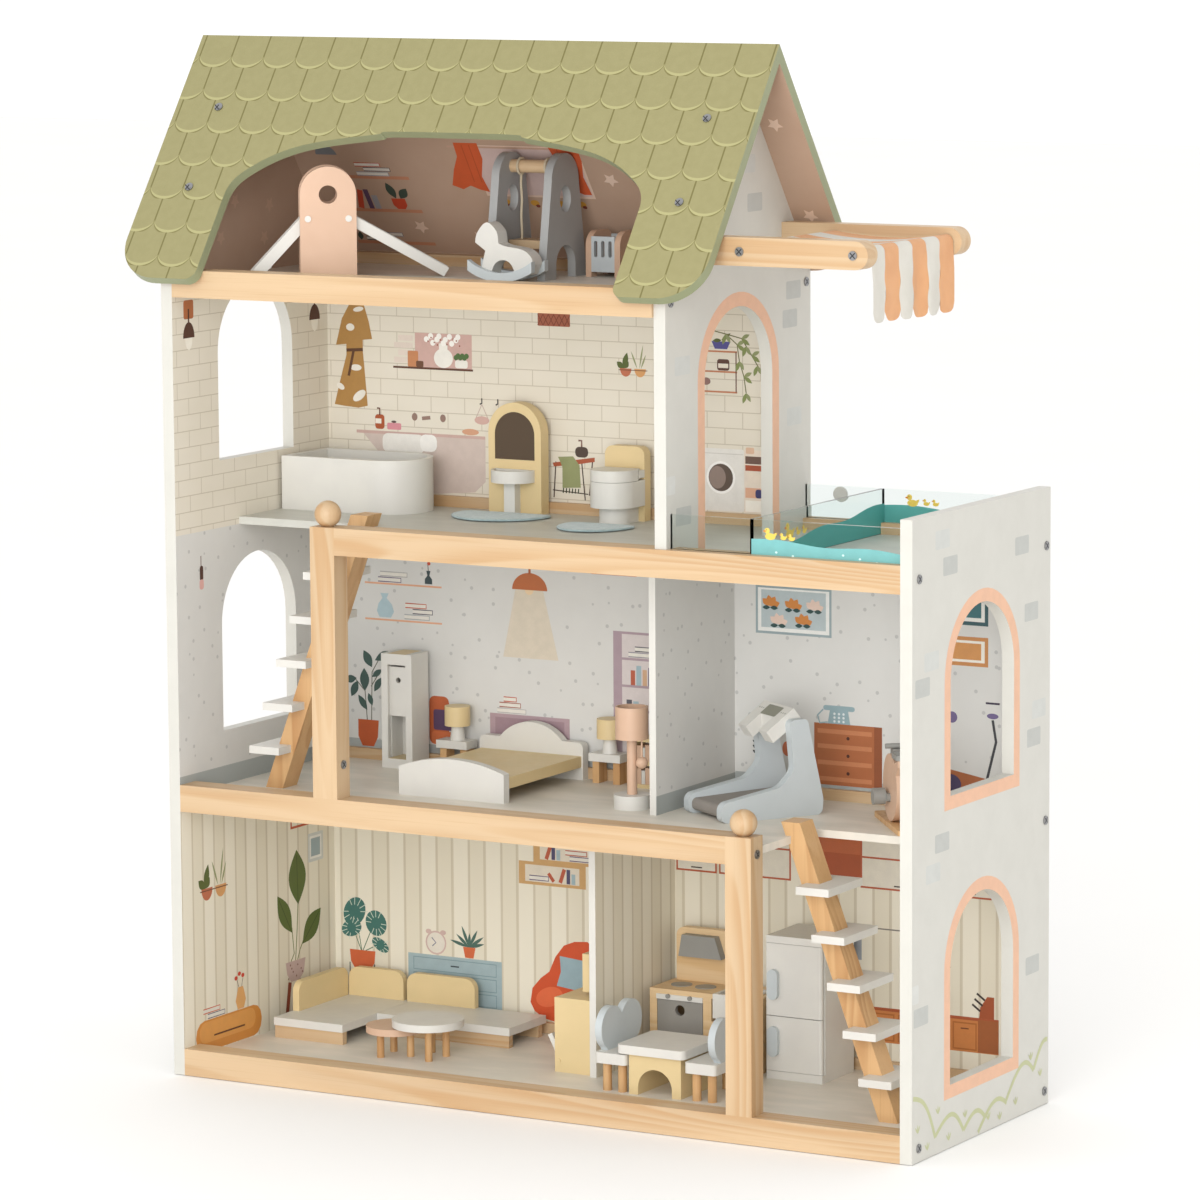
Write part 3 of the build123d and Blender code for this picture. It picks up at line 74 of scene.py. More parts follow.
def linear(code):
    """A colour such as #D9B08C as linear values."""
    parts = [int(code[i:i + 2], 16) / 255 for i in (1, 3, 5)]
    return tuple(c / 12.92 if c < 0.04045 else ((c + 0.055) / 1.055) ** 2.4 for c in parts) + (1.0,)


class Value:
    """A shader value with arithmetic, so that a pattern reads as a formula."""

    def __init__(self, tree, socket):
        self.tree = tree
        self.socket = socket

    def math(self, operation, *others):
        node = self.tree.nodes.new("ShaderNodeMath")
        node.operation = operation
        for slot, value in zip(node.inputs, (self, *others)):
            if isinstance(value, Value):
                self.tree.links.new(value.socket, slot)
            else:
                slot.default_value = value
        return Value(self.tree, node.outputs[0])

    def __add__(self, other):
        return self.math("ADD", other)

    def __sub__(self, other):
        return self.math("SUBTRACT", other)

    def __mul__(self, other):
        return self.math("MULTIPLY", other)

    def __truediv__(self, other):
        return self.math("DIVIDE", other)

    def fract(self):
        return self.math("FRACT")

    def floor(self):
        return self.math("FLOOR")

    def abs(self):
        return self.math("ABSOLUTE")

    def sqrt(self):
        return self.math("SQRT")

    def over(self, limit):
        return self.math("GREATER_THAN", limit)

    def under(self, limit):
        return self.math("LESS_THAN", limit)

    def ramp(self, low, high):
        """0 below low, 1 above high, and smooth between."""
        node = self.tree.nodes.new("ShaderNodeMapRange")
        node.interpolation_type = "SMOOTHSTEP"
        self.tree.links.new(self.socket, node.inputs["Value"])
        node.inputs["From Min"].default_value = low
        node.inputs["From Max"].default_value = high
        return Value(self.tree, node.outputs["Result"])


class Finish:
    """A material under construction."""

    def __init__(self, name, roughness=0.5, specular=0.4):
        self.material = bpy.data.materials.new(name)
        self.material.use_nodes = True
        self.tree = self.material.node_tree
        self.surface = self.tree.nodes["Principled BSDF"]
        self.surface.inputs["Roughness"].default_value = roughness
        self.surface.inputs["Specular IOR Level"].default_value = specular
        self.coords = self.tree.nodes.new("ShaderNodeTexCoord").outputs["Object"]
        split = self.tree.nodes.new("ShaderNodeSeparateXYZ")
        self.tree.links.new(self.coords, split.inputs[0])
        self.x, self.y, self.z = [Value(self.tree, out) for out in split.outputs]

    def constant(self, number):
        node = self.tree.nodes.new("ShaderNodeValue")
        node.outputs[0].default_value = number
        return Value(self.tree, node.outputs[0])

    def noise(self, scale=(1, 1, 1), detail=2.0, distortion=0.0, vector=None):
        """Noise whose scale is in features per metre along each axis."""
        mapping = self.tree.nodes.new("ShaderNodeMapping")
        mapping.inputs["Scale"].default_value = scale if isinstance(scale, tuple) else (scale,) * 3
        self.tree.links.new(vector or self.coords, mapping.inputs["Vector"])
        node = self.tree.nodes.new("ShaderNodeTexNoise")
        node.inputs["Scale"].default_value = 1.0
        node.inputs["Detail"].default_value = detail
        node.inputs["Distortion"].default_value = distortion
        self.tree.links.new(mapping.outputs[0], node.inputs["Vector"])
        return Value(self.tree, node.outputs["Fac"])

    def spots(self, u, v, scale, size):
        """Round spots scattered over a surface, with u and v the distances along it."""
        join = self.tree.nodes.new("ShaderNodeCombineXYZ")
        self.tree.links.new(u.socket, join.inputs[0])
        self.tree.links.new(v.socket, join.inputs[1])
        node = self.tree.nodes.new("ShaderNodeTexVoronoi")
        node.voronoi_dimensions = "2D"
        node.inputs["Scale"].default_value = scale
        self.tree.links.new(join.outputs[0], node.inputs["Vector"])
        return Value(self.tree, node.outputs["Distance"]).under(size)

    def mix(self, factor, first, second):
        """A colour between two, each a colour code or an earlier mix."""
        node = self.tree.nodes.new("ShaderNodeMix")
        node.data_type = "RGBA"
        if isinstance(factor, Value):
            self.tree.links.new(factor.socket, node.inputs[0])
        else:
            node.inputs[0].default_value = factor
        for slot, colour in ((node.inputs[6], first), (node.inputs[7], second)):
            if isinstance(colour, str):
                slot.default_value = linear(colour)
            else:
                self.tree.links.new(colour, slot)
        return node.outputs[2]

    def colour(self, value):
        if isinstance(value, str):
            self.surface.inputs["Base Color"].default_value = linear(value)
        else:
            self.tree.links.new(value, self.surface.inputs["Base Color"])

    def roughness(self, value):
        self.tree.links.new(value.socket, self.surface.inputs["Roughness"])

    def bump(self, value, depth):
        """Relief of that depth in metres."""
        node = self.tree.nodes.new("ShaderNodeBump")
        node.inputs["Strength"].default_value = 1.0
        node.inputs["Distance"].default_value = depth
        self.tree.links.new(value.socket, node.inputs["Height"])
        self.tree.links.new(node.outputs[0], self.surface.inputs["Normal"])


def shade(code, factor):
    """A colour code made darker or lighter."""
    parts = [int(code[i:i + 2], 16) for i in (1, 3, 5)]
    return "#" + "".join(f"{max(0, min(255, round(p * factor))):02X}" for p in parts)


# Materials ---------------------------------------------------------------------------------------

def painted(name, code, roughness=0.42):
    """Sprayed paint on board: faint clouds, fine orange peel and uneven gloss."""
    finish = Finish(name, roughness)
    clouds = finish.noise(38, 3)
    speckle = finish.noise(900, 2)
    tone = finish.mix(clouds.ramp(0.3, 0.7), shade(code, 0.988), shade(code, 1.006))
    finish.colour(finish.mix(speckle.ramp(0.66, 0.8) * 0.25, tone, shade(code, 0.93)))
    finish.roughness(finish.noise(160, 2) * 0.25 + (roughness - 0.12))
    finish.bump(finish.noise(700, 2), 0.00005)
    return finish.material


def pine(name, along, light="#CBAF8B", dark="#B78D5E"):
    """Lacquered pine: growth lines drawn out along the board, with fine pores."""
    finish = Finish(name, 0.4)

    def drawn(length, across, detail=2, distortion=0.0):
        return finish.noise(tuple(length if axis == along else across for axis in "xyz"), detail,
                            distortion)

    rings = (drawn(1.6, 24, 1, 0.15) * 12.0).fract()
    band = rings.ramp(0.0, 0.8) - rings.ramp(0.82, 1.0)
    fibres = drawn(12, 1000, 3)
    broad = drawn(3, 26)
    base = finish.mix(broad.ramp(0.35, 0.65), light, shade(light, 0.955))
    grain = finish.mix(band * broad.ramp(0.3, 0.6) * 0.6, base, dark)
    finish.colour(finish.mix(fibres.ramp(0.52, 0.75) * 0.22, grain, shade(dark, 0.93)))
    finish.roughness(fibres * 0.2 + 0.32)
    finish.bump(fibres + band * 0.2, 0.00005)
    return finish.material


def metal(name, code):
    finish = Finish(name, 0.3)
    finish.surface.inputs["Metallic"].default_value = 1.0
    scratches = finish.noise((2500, 300, 2500), 3)
    finish.colour(finish.mix(scratches, shade(code, 0.85), code))
    finish.roughness(scratches * 0.3 + 0.2)
    finish.bump(scratches, 0.00003)
    return finish.material


def clear(name, tint="#F1F7F6"):
    """Clear acrylic sheet, with faint scuffs."""
    finish = Finish(name, 0.03)
    finish.surface.inputs["Transmission Weight"].default_value = 1.0
    finish.surface.inputs["IOR"].default_value = 1.1
    finish.colour(tint)
    finish.roughness(finish.noise(90, 3).ramp(0.55, 0.9) * 0.06 + 0.02)
    return finish.material


def roof_print():
    """Round-ended shingles in half-offset rows, drawn down the slope."""
    finish = Finish("roof_shingles", 0.5)
    width, pitch, depth = 0.0304, 0.0310, 0.40
    down = (finish.constant(RIDGE) - finish.z) / (pitch * cos(radians(35.8))) + 0.02
    row = down.floor()
    drop = down.fract()
    side = (finish.x / width + (row * 0.5).fract() + 0.31).fract() - 0.5
    reach = (finish.constant(1.0) - side * side * 3.9).math("MAXIMUM", 0.0).sqrt()
    gap = drop - (reach * depth + (1.0 - depth))
    above = (gap * -1.0) * pitch
    rim_width = reach.math("MULTIPLY", 0.0024)
    rim = above.over(0.0) * (above - rim_width).under(0.0)
    shadow = gap.over(0.0) * (finish.constant(1.0) - (gap * pitch).ramp(0.0004, 0.0022))
    seam = (side.abs() - 0.5).abs() * width
    line = (finish.constant(1.0) - seam.ramp(0.0004, 0.0009)) * gap.under(0.0)
    mottled = finish.mix(finish.noise(160, 4).ramp(0.3, 0.7), "#8F895E", "#928C61")
    edged = finish.mix(line * 0.9, mottled, "#686130")
    shaded = finish.mix(shadow * 0.85, edged, "#6B6432")
    finish.colour(finish.mix(rim * 0.95, shaded, "#A7A272"))
    finish.roughness(finish.noise(200, 2) * 0.2 + 0.38)
    finish.bump(finish.noise(800, 2), 0.00005)
    return finish.material


def wallpaper():
    """One printed sheet per storey: stripes, dots above a skirting, bathroom tiles and a plain attic."""
    finish = Finish("wallpaper", 0.55)
    run = finish.x + finish.y
    stripe = (run / 0.0310 + 0.2).fract()
    lines = stripe.over(0.10) * stripe.under(0.17) + stripe.over(0.58) * stripe.under(0.66)
    wash = stripe.over(0.13) * stripe.under(0.62)
    ground = finish.mix(wash, "#E6E0CF", "#DFD8C5")
    ground = finish.mix(lines * 0.6, ground, "#BDB199")

    dots = finish.spots(run, finish.z, 41, 0.062)
    specks = finish.spots(run + 0.31, finish.z, 27, 0.028)
    first = finish.mix(finish.noise(60, 3), "#CFCECA", "#D5D4D0")
    first = finish.mix((dots + specks).math("MINIMUM", 1.0) * 0.55, first, "#A3A3A2")
    skirting = finish.z.under((FIRST + 15) * MM)
    first = finish.mix(skirting, first, "#A3A8A6")

    rise = finish.z / 0.0129
    course = rise.floor()
    step = (run / 0.032 + (course * 0.5).fract()).fract()
    grout = (rise.fract().under(0.055) + step.under(0.022)).math("MINIMUM", 1.0)
    tile_tone = finish.noise((31, 31, 78), 0)
    second = finish.mix(tile_tone, "#DAD3C3", "#DFD8CA")
    second = finish.mix(grout * 0.75, second, "#B5AA96")

    attic = finish.mix(finish.noise(30, 3), "#B39680", "#BCA18D")
    paper = finish.mix(finish.z.over((FIRST - 6) * MM), ground, first)
    paper = finish.mix(finish.z.over((SECOND - 6) * MM), paper, second)
    paper = finish.mix(finish.z.over((ATTIC - 6) * MM), paper, attic)
    finish.colour(paper)
    finish.roughness(finish.noise(220, 2) * 0.2 + 0.45)
    finish.bump(finish.noise(1200, 2), 0.00003)
    return finish.material


def floorboard(name, code):
    """Painted panel with faint rubbed tracks."""
    finish = Finish(name, 0.45)
    rubbed = finish.noise((18, 55, 18), 4)
    finish.colour(finish.mix(rubbed.ramp(0.35, 0.7), shade(code, 0.97), shade(code, 1.03)))
    finish.roughness(rubbed * 0.3 + 0.28)
    finish.bump(finish.noise(1100, 2), 0.00004)
    return finish.material


WHITE = painted("white_paint", "#D7D5CE")
OFF_WHITE = painted("outer_white_paint", "#C9C7BF")
CREAM = painted("cream_paint", "#DAC394")
PEACH = painted("peach_paint", "#CFAD93")
GREY = painted("grey_paint", "#8D8A84")
PALE_BLUE = painted("pale_blue_paint", "#BFC6C8")
SLATE = painted("slate_paint", "#8F8E89")
WARM_WOOD = pine("warm_wood", "z", "#D5AC7B", "#AF7945")
PINE_X = pine("pine_along_x", "x")
PINE_Y = pine("pine_along_y", "y")
PINE_Z = pine("pine_along_z", "z")
STEEL = metal("screw_steel", "#A2A2A4")
SWING_GREY = painted("swing_grey_paint", "#A3A4A3")
CLEAR = clear("clear_sheet")
PAPER = wallpaper()
SHINGLES = roof_print()
ROOF_EDGE = painted("roof_edge_paint", "#8C9170")
FLOORS = floorboard("floor_paint", "#DED8CC")
BATH_FLOOR = floorboard("bathroom_floor_paint", "#C3C3BB")
DARK_GLASS = painted("mirror_brown", "#4F3E2B", 0.15)
BELT = painted("running_belt", "#8C867F", 0.7)
BUTTON = painted("clip_button", "#BDBEB8", 0.3)
PALE_PINE = pine("pale_pine", "x", "#DFC298", "#CDA570")


# Giving CAD nodes their materials ----------------------------------------------------------------

def solids(node):
    """The separate solids of a node: (low corner, high corner, face numbers), in house mm."""
    mesh = NODES[node].data
    home = list(range(len(mesh.vertices)))

    def root(i):
        while home[i] != i:
            home[i] = home[home[i]]
            i = home[i]
        return i

    seen = {}
    for vertex in mesh.vertices:
        key = tuple(round(c * 1e5) for c in vertex.co)
        home[root(vertex.index)] = root(seen.setdefault(key, vertex.index))
    for face in mesh.polygons:
        first = root(face.vertices[0])
        for other in face.vertices[1:]:
            home[root(other)] = first
    groups = {}
    for face in mesh.polygons:
        groups.setdefault(root(face.vertices[0]), []).append(face.index)
    found = []
    for faces in groups.values():
        points = [house(mesh.vertices[v].co) for f in faces for v in mesh.polygons[f].vertices]
        low = Vector([min(p[i] for p in points) for i in range(3)])
        high = Vector([max(p[i] for p in points) for i in range(3)])
        found.append((low, high, faces))
    return found


def paint(node, material, faces=None, where=None):
    """Sets the material of a node's faces; where(centre, normal) picks them, with the centre in house mm."""
    mesh = NODES[node].data
    if faces is None and where is None:
        mesh.materials.clear()
        mesh.materials.append(material)
        for face in mesh.polygons:
            face.material_index = 0
        return
    if material.name not in [m.name for m in mesh.materials if m]:
        mesh.materials.append(material)
    index = [m.name for m in mesh.materials].index(material.name)
    for face in mesh.polygons:
        if faces is not None and face.index not in faces:
            continue
        if where is None or where(house(face.center), face.normal):
            face.material_index = index


def paint_solids(node, rule):
    """rule(low, high, size) returns the material of each solid."""
    paint(node, WHITE)
    for low, high, faces in solids(node):
        paint(node, rule(low, high, high - low), faces=set(faces))


TOWER = Vector((101.3, 71.0, ATTIC + 47.5))       # between the toy slide's two pins, on its front board
TOWER_TURN = radians(34.8)
PIN_OFFSETS = (-16, 16)
PIN_STANDS_OUT = 0.8
PIN_RADIUS = 2.5
FACES_SLOPE = 0.75                                # a roof board's own faces lean more than its cut edges do
MIRROR = Vector((188.5, 208.75, 504))             # the centre of the washstand mirror's round top
MIRROR_RADIUS = 18.6
MIRROR_FOOT = 484


def tower_spot(x):
    """The end of one of the toy slide's pins, x mm along its front board, in house mm."""
    along = Vector((cos(TOWER_TURN), sin(TOWER_TURN), 0))
    outwards = Vector((sin(TOWER_TURN), -cos(TOWER_TURN), 0))
    return TOWER + along * x + outwards * PIN_STANDS_OUT


def on_mirror(centre, normal):
    """Whether a face of the washstand is its mirror: straight sides below, a half circle above."""
    across, rise = centre.x - MIRROR.x, centre.z - MIRROR.z
    inside = Vector((across, max(rise, 0.0))).length < MIRROR_RADIUS
    return normal.y < -0.9 and abs(centre.y - MIRROR.y) < 0.85 and centre.z > MIRROR_FOOT and inside


def cooker_finish(lo, hi, size):
    """Wooden boards, a white top and sink, a white strip with grey knobs, and a grey hood and rings."""
    knob = size.x < 5 and size.y < 3
    ring = abs(size.x - size.y) < 0.5 and size.z < 1
    hood = size.y > 7.5 and lo.z > GROUND + 75
    if knob or ring or hood:
        return SLATE
    if size.z < 4.5 and size.x > 40 and size.y < 6 or size.z > 18 and size.y > 30 and size.z < 25:
        return WHITE
    return PALE_PINE


for node, material in {
    "left_wall": OFF_WHITE, "tall_wall": OFF_WHITE, "right_wall": OFF_WHITE, "back_panels": OFF_WHITE,
    "partitions": WHITE, "ground_rail": PINE_X, "first_rail": PINE_X, "second_rail": PINE_X,
    "attic_rail": PINE_X, "back_rails": PINE_X, "left_post": PINE_Z, "right_post": PINE_Z,
    "screws": STEEL, "pool_panels": CLEAR, "ground_floor": FLOORS, "first_floor": FLOORS,
    "second_floor": BATH_FLOOR, "attic_floor": FLOORS, "bathtub": WHITE, "slide_tower": PEACH,
    "slide_ladder": WHITE, "slide_chute": WHITE, "swing_seat": PINE_X, "toilet": WHITE, "toilet_lid": WHITE,
    "wardrobe_door": WHITE, "oven_door": GREY, "television": CREAM, "tv_cabinet": CREAM,
    "tv_cabinet_flap": WHITE, "fridge_upper_door": WHITE, "fridge_lower_door": WHITE, "bike_pedals": SLATE,
    "awning_cloth": WHITE, "bath_mats": PALE_BLUE, "swing_ropes": WHITE,
}.items():
    paint(node, material)

paint("left_wall", PAPER, where=lambda c, n: n.x > 0.9)
paint("tall_wall", PAPER, where=lambda c, n: n.x < -0.9)
paint("right_wall", PAPER, where=lambda c, n: n.x < -0.9)
paint("back_panels", PAPER, where=lambda c, n: n.y < -0.9)
paint("partitions", PAPER, where=lambda c, n: abs(n.x) > 0.9)
for roof in ("front_roof", "back_roof"):
    paint(roof, ROOF_EDGE)
    paint(roof, SHINGLES, where=lambda c, n: n.z > 0.3 and abs(n.y) > FACES_SLOPE)
    paint(roof, PAPER, where=lambda c, n: n.z < -0.3 and abs(n.y) > FACES_SLOPE)
paint_solids("left_ladder", lambda lo, hi, size: WARM_WOOD if size.z > 50 else WHITE)
paint_solids("right_ladder", lambda lo, hi, size: WARM_WOOD if size.z > 50 else WHITE)
paint_solids("awning_frame", lambda lo, hi, size: PINE_Y if size.y > 50 else PINE_X)
paint_solids("swing_frame", lambda lo, hi, size: PINE_X if size.z < 20 else SWING_GREY)
paint_solids("rocking_horse", lambda lo, hi, size: WHITE if size.z > 30 else PALE_BLUE)
paint_solids("crib", lambda lo, hi, size: PEACH if size.z > 33 else (PALE_BLUE if size.z > 10 else WHITE))
paint_solids("washstand", lambda lo, hi,
             size: CREAM if size.z > 60 else DARK_GLASS if size.y < 2 else WHITE)
paint_solids("toilet", lambda lo, hi, size: CREAM if size.z > 50 else WHITE)
paint_solids("wardrobe", lambda lo, hi, size: CREAM if size.x < 20 and size.z < 12 else WHITE)
paint_solids("cooker", cooker_finish)
paint("washstand", DARK_GLASS, where=on_mirror)
paint("wardrobe", CREAM, where=lambda c, n: n.z > 0.9 and 75 < c.x < 93)
paint("fridge", CREAM, where=lambda c, n: c.z > 121.2 or c.z < 19.1)
paint_solids("fridge", lambda lo, hi, size: CREAM if size.z < 10 else STEEL if size.x < 3 else WHITE)
for door in ("fridge_upper_door", "fridge_lower_door"):
    paint_solids(door, lambda lo, hi, size: PALE_BLUE if size.x < 12 else WHITE)
paint_solids("pool_panels", lambda lo, hi, size: BUTTON if size.x < 15 and size.y < 5 else CLEAR)
paint_solids("bed", lambda lo, hi, size: CREAM if size.y > 50 else WHITE)
paint_solids("bedside_tables", lambda lo, hi, size: WHITE if size.x > 15 else WARM_WOOD)
paint_solids("table_lamps", lambda lo, hi, size: CREAM if size.x > 15 else WHITE)
paint_solids("floor_lamp", lambda lo, hi, size: WHITE if size.z < 12 else PEACH)
paint_solids("bookcase", lambda lo, hi, size: (
    CREAM if size.y > 15 else (SLATE, PEACH, WHITE, WARM_WOOD)[int(lo.x) % 4]))
paint_solids("treadmill", lambda lo, hi, size: WHITE if lo.z > FIRST + 40 else (
    BELT if size.z < 16 else PALE_BLUE))
paint_solids("exercise_bike", lambda lo, hi, size: PEACH if size.z > 30 else (
    SLATE if lo.z > FIRST + 40 else WARM_WOOD))
paint_solids("sofa", lambda lo, hi, size: CREAM if size.z > 20 else WHITE if size.z < 8 else PINE_X)
paint_solids("coffee_tables", lambda lo, hi,
             size: WARM_WOOD if size.x < 10 else (PEACH if size.x < 50 else WHITE))
paint_solids("dining_table", lambda lo, hi, size: WHITE if size.z < 10 else CREAM)
for chair in ("chair_left", "chair_right"):
    paint_solids(chair, lambda lo, hi, size: WARM_WOOD if size.x < 10 and size.z < 25 and size.y < 10 else (
        PALE_BLUE if size.z > 20 else WHITE))


# Printed pictures --------------------------------------------------------------------------------

PINS = [tower_spot(x) for x in PIN_OFFSETS]
paint("slide_tower", WHITE, where=lambda c,
      n: n.y < -0.5 and any((c - pin).length < PIN_RADIUS for pin in PINS))

LAYER = 0.00002
UP = Vector((0, 0, 1))
RIGHTWARDS = Vector((1, 0, 0))
BACKWARDS = Vector((0, 1, 0))
INKS = {}


def ink(code):
    """A printing ink: matt, with a fine screen and slightly uneven cover."""
    if code not in INKS:
        finish = Finish(f"ink_{code[1:]}", 0.55)
        cover = finish.noise(120, 3)
        screen = finish.noise(1500, 1)
        tone = finish.mix(cover.ramp(0.3, 0.7), shade(code, 0.985), shade(code, 1.012))
        finish.colour(finish.mix(screen.ramp(0.55, 0.75) * 0.15, tone, shade(code, 1.15)))
        finish.roughness(cover * 0.2 + 0.45)
        finish.bump(screen, 0.00001)
        INKS[code] = finish.material
    return INKS[code]


class Print:
    """Flat shapes printed on one surface. Across and up are in mm from its origin."""

    def __init__(self, name, origin, across=RIGHTWARDS, up=UP, out=None, body="house"):
        self.name = name
        self.origin, self.across, self.up = origin, across, up
        self.out = out or across.cross(up)
        self.body = body
        self.shapes = []

    def shape(self, code, outline):
        """A closed outline, one layer above whatever it overlaps."""
        us, vs = [p[0] for p in outline], [p[1] for p in outline]
        area = (min(us), max(us), min(vs), max(vs))
        below = [s[2] for s in self.shapes if s[3][0] < area[1] and s[3][1] > area[0]
                 and s[3][2] < area[3] and s[3][3] > area[2]]
        self.shapes.append((code, outline, 1 + max(below, default=0), area))

    def rect(self, code, u0, v0, u1, v1):
        self.shape(code, [(u0, v0), (u1, v0), (u1, v1), (u0, v1)])

    def oval(self, code, u, v, a, b=None, turn=0, start=0, stop=360, steps=24):
        b = b or a
        angles = [radians(start + (stop - start) * i / steps) for i in range(steps + (stop - start < 360))]
        lean = radians(turn)
        self.shape(code, [(u + a * cos(t) * cos(lean) - b * sin(t) * sin(lean),
                           v + a * cos(t) * sin(lean) + b * sin(t) * cos(lean)) for t in angles])

    def rounded(self, code, u0, v0, u1, v1, r):
        corners = ((u1 - r, v1 - r, 0), (u0 + r, v1 - r, 90), (u0 + r, v0 + r, 180), (u1 - r, v0 + r, 270))
        self.shape(code, [(u + r * cos(radians(a + t)), v + r * sin(radians(a + t)))
                          for u, v, a in corners for t in (0, 30, 60, 90)])

    def leaf(self, code, u, v, length, width, turn, point=0.5):
        """A leaf from its stalk at u, v; point moves its widest part towards the tip."""
        lean, steps = radians(turn), 10
        along = [i / steps for i in range(steps + 1)]
        swell = [width / 2 * sin(pi * t ** (0.5 / (1 - point) if point > 0.5 else 1)) for t in along]
        edge = [(t * length, s) for t, s in zip(along, swell)]
        edge += [(t * length, -s) for t, s in list(zip(along, swell))[-2:0:-1]]
        self.shape(code, [(u + p * cos(lean) - q * sin(lean), v + p * sin(lean) + q * cos(lean)) for p,
                          q in edge])

    def line(self, code, points, width=1.0):
        """A stroke of even width along a broken line."""
        left, right = [], []
        for i, point in enumerate(points):
            here = Vector(point)
            before = (here - Vector(points[i - 1])).normalized() if i else None
            after = (Vector(points[i + 1]) - here).normalized() if i + 1 < len(points) else None
            run = ((before or after) + (after or before)).normalized()
            side = Vector((-run.y, run.x)) * (width / 2)
            left.append(tuple(here + side))
            right.append(tuple(here - side))
        self.shape(code, left + right[::-1])

    def frame(self, code, u0, v0, u1, v1, width):
        for box in ((u0, v0, u1, v0 + width), (u0, v1 - width, u1, v1),
                    (u0, v0, u0 + width, v1), (u1 - width, v0, u1, v1)):
            self.rect(code, *box)

    def arch(self, code, centre, half, foot, crown, width, sill=True):
        """A band round an arched opening, with its inner edge on the opening's."""
        spring = crown - half
        turns = [radians(180 - 180 * i / 24) for i in range(25)]
        inner = [(centre - half, foot)] + [(centre + half * cos(t), spring + half * sin(t)) for t in turns]
        inner.append((centre + half, foot))
        wide = half + width
        outer = [(centre - wide, foot)] + [(centre + wide * cos(t), spring + wide * sin(t)) for t in turns]
        outer.append((centre + wide, foot))
        self.shape(code, outer + inner[::-1])
        if sill:
            self.rect(code, centre - wide, foot - width, centre + wide, foot)

    def place(self):
        corners, faces, used = [], [], []
        for code, outline, layer, area in self.shapes:
            if code not in used:
                used.append(code)
            start = len(corners)
            for u, v in outline:
                flat_spot = self.origin + self.across * (u * MM) + self.up * (v * MM)
                corners.append(flat_spot + self.out * (layer * LAYER))
            flat = [Vector((u, v, 0)) for u, v in outline]
            for triangle in geometry.tessellate_polygon([flat]):
                turn = [start + i for i in triangle]
                a, b, c = [corners[i] for i in turn]
                if (b - a).cross(c - a).dot(self.out) < 0:
                    turn.reverse()
                faces.append((turn, used.index(code)))
        mesh = bpy.data.meshes.new(self.name)
        mesh.from_pydata(corners, [], [f[0] for f in faces])
        for code in used:
            mesh.materials.append(ink(code))
        for face, (corner, index) in zip(mesh.polygons, faces):
            face.material_index = index
        obj = bpy.data.objects.new(self.name, mesh)
        bpy.context.scene.collection.objects.link(obj)
        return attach(obj, self.body)


BACK = house(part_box("back_panels")[0]).y
RIGHT = house(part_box("right_wall")[0]).x
TALL = house(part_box("tall_wall")[0]).x
WALL = (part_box("left_wall")[1].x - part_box("left_wall")[0].x) / MM
DEPTH_MIDDLE = house(Vector((0, MIDDLE, 0))).y
GREENS = ("#55602F", "#8F9468", "#3F5650", "#3F6A60")


def books(page, u, v, kinds):
    """A row of standing books: (width, height, colour) each."""
    for width, tall, code in kinds:
        page.rect(code, u, v, u + width, v + tall)
        u += width + 1.2


def stack(page, u, v, kinds):
    """Books lying on each other, drawn as an outline round pale pages: (start, length, colour)."""
    for start, length, code in kinds:
        page.rect("#DDD9D0", u + start, v, u + start + length, v + 4.4)
        page.line(code, [(u + start, v + 0.5), (u + start + length, v + 0.5), (u + start + length, v + 4),
                         (u + start, v + 4)], 0.9)
        v += 4.7


def hanging_pots(page, u, v, size=1.0):
    """Two plants in half-round pots on a thin bar."""
    page.oval("#B96B4C", u, v, 8 * size, 10 * size, start=180, stop=360)
    page.oval("#D09A62", u + 20 * size, v, 8 * size, 10 * size, start=180, stop=360)
    page.line("#6E4632", [(u - 10 * size, v - 2 * size), (u + 30 * size, v - 2 * size)], 0.9 * size)
    for turn, length in ((50, 11), (75, 20), (140, 12)):
        page.leaf(GREENS[0], u - 3 * size, v, length * size, 7.5 * size, turn)
    for turn, length, shift in ((112, 23, 0), (80, 30, 3), (68, 19, 5)):
        page.leaf(GREENS[1], u + (16 + shift) * size, v, length * size, 2.2 * size, turn)


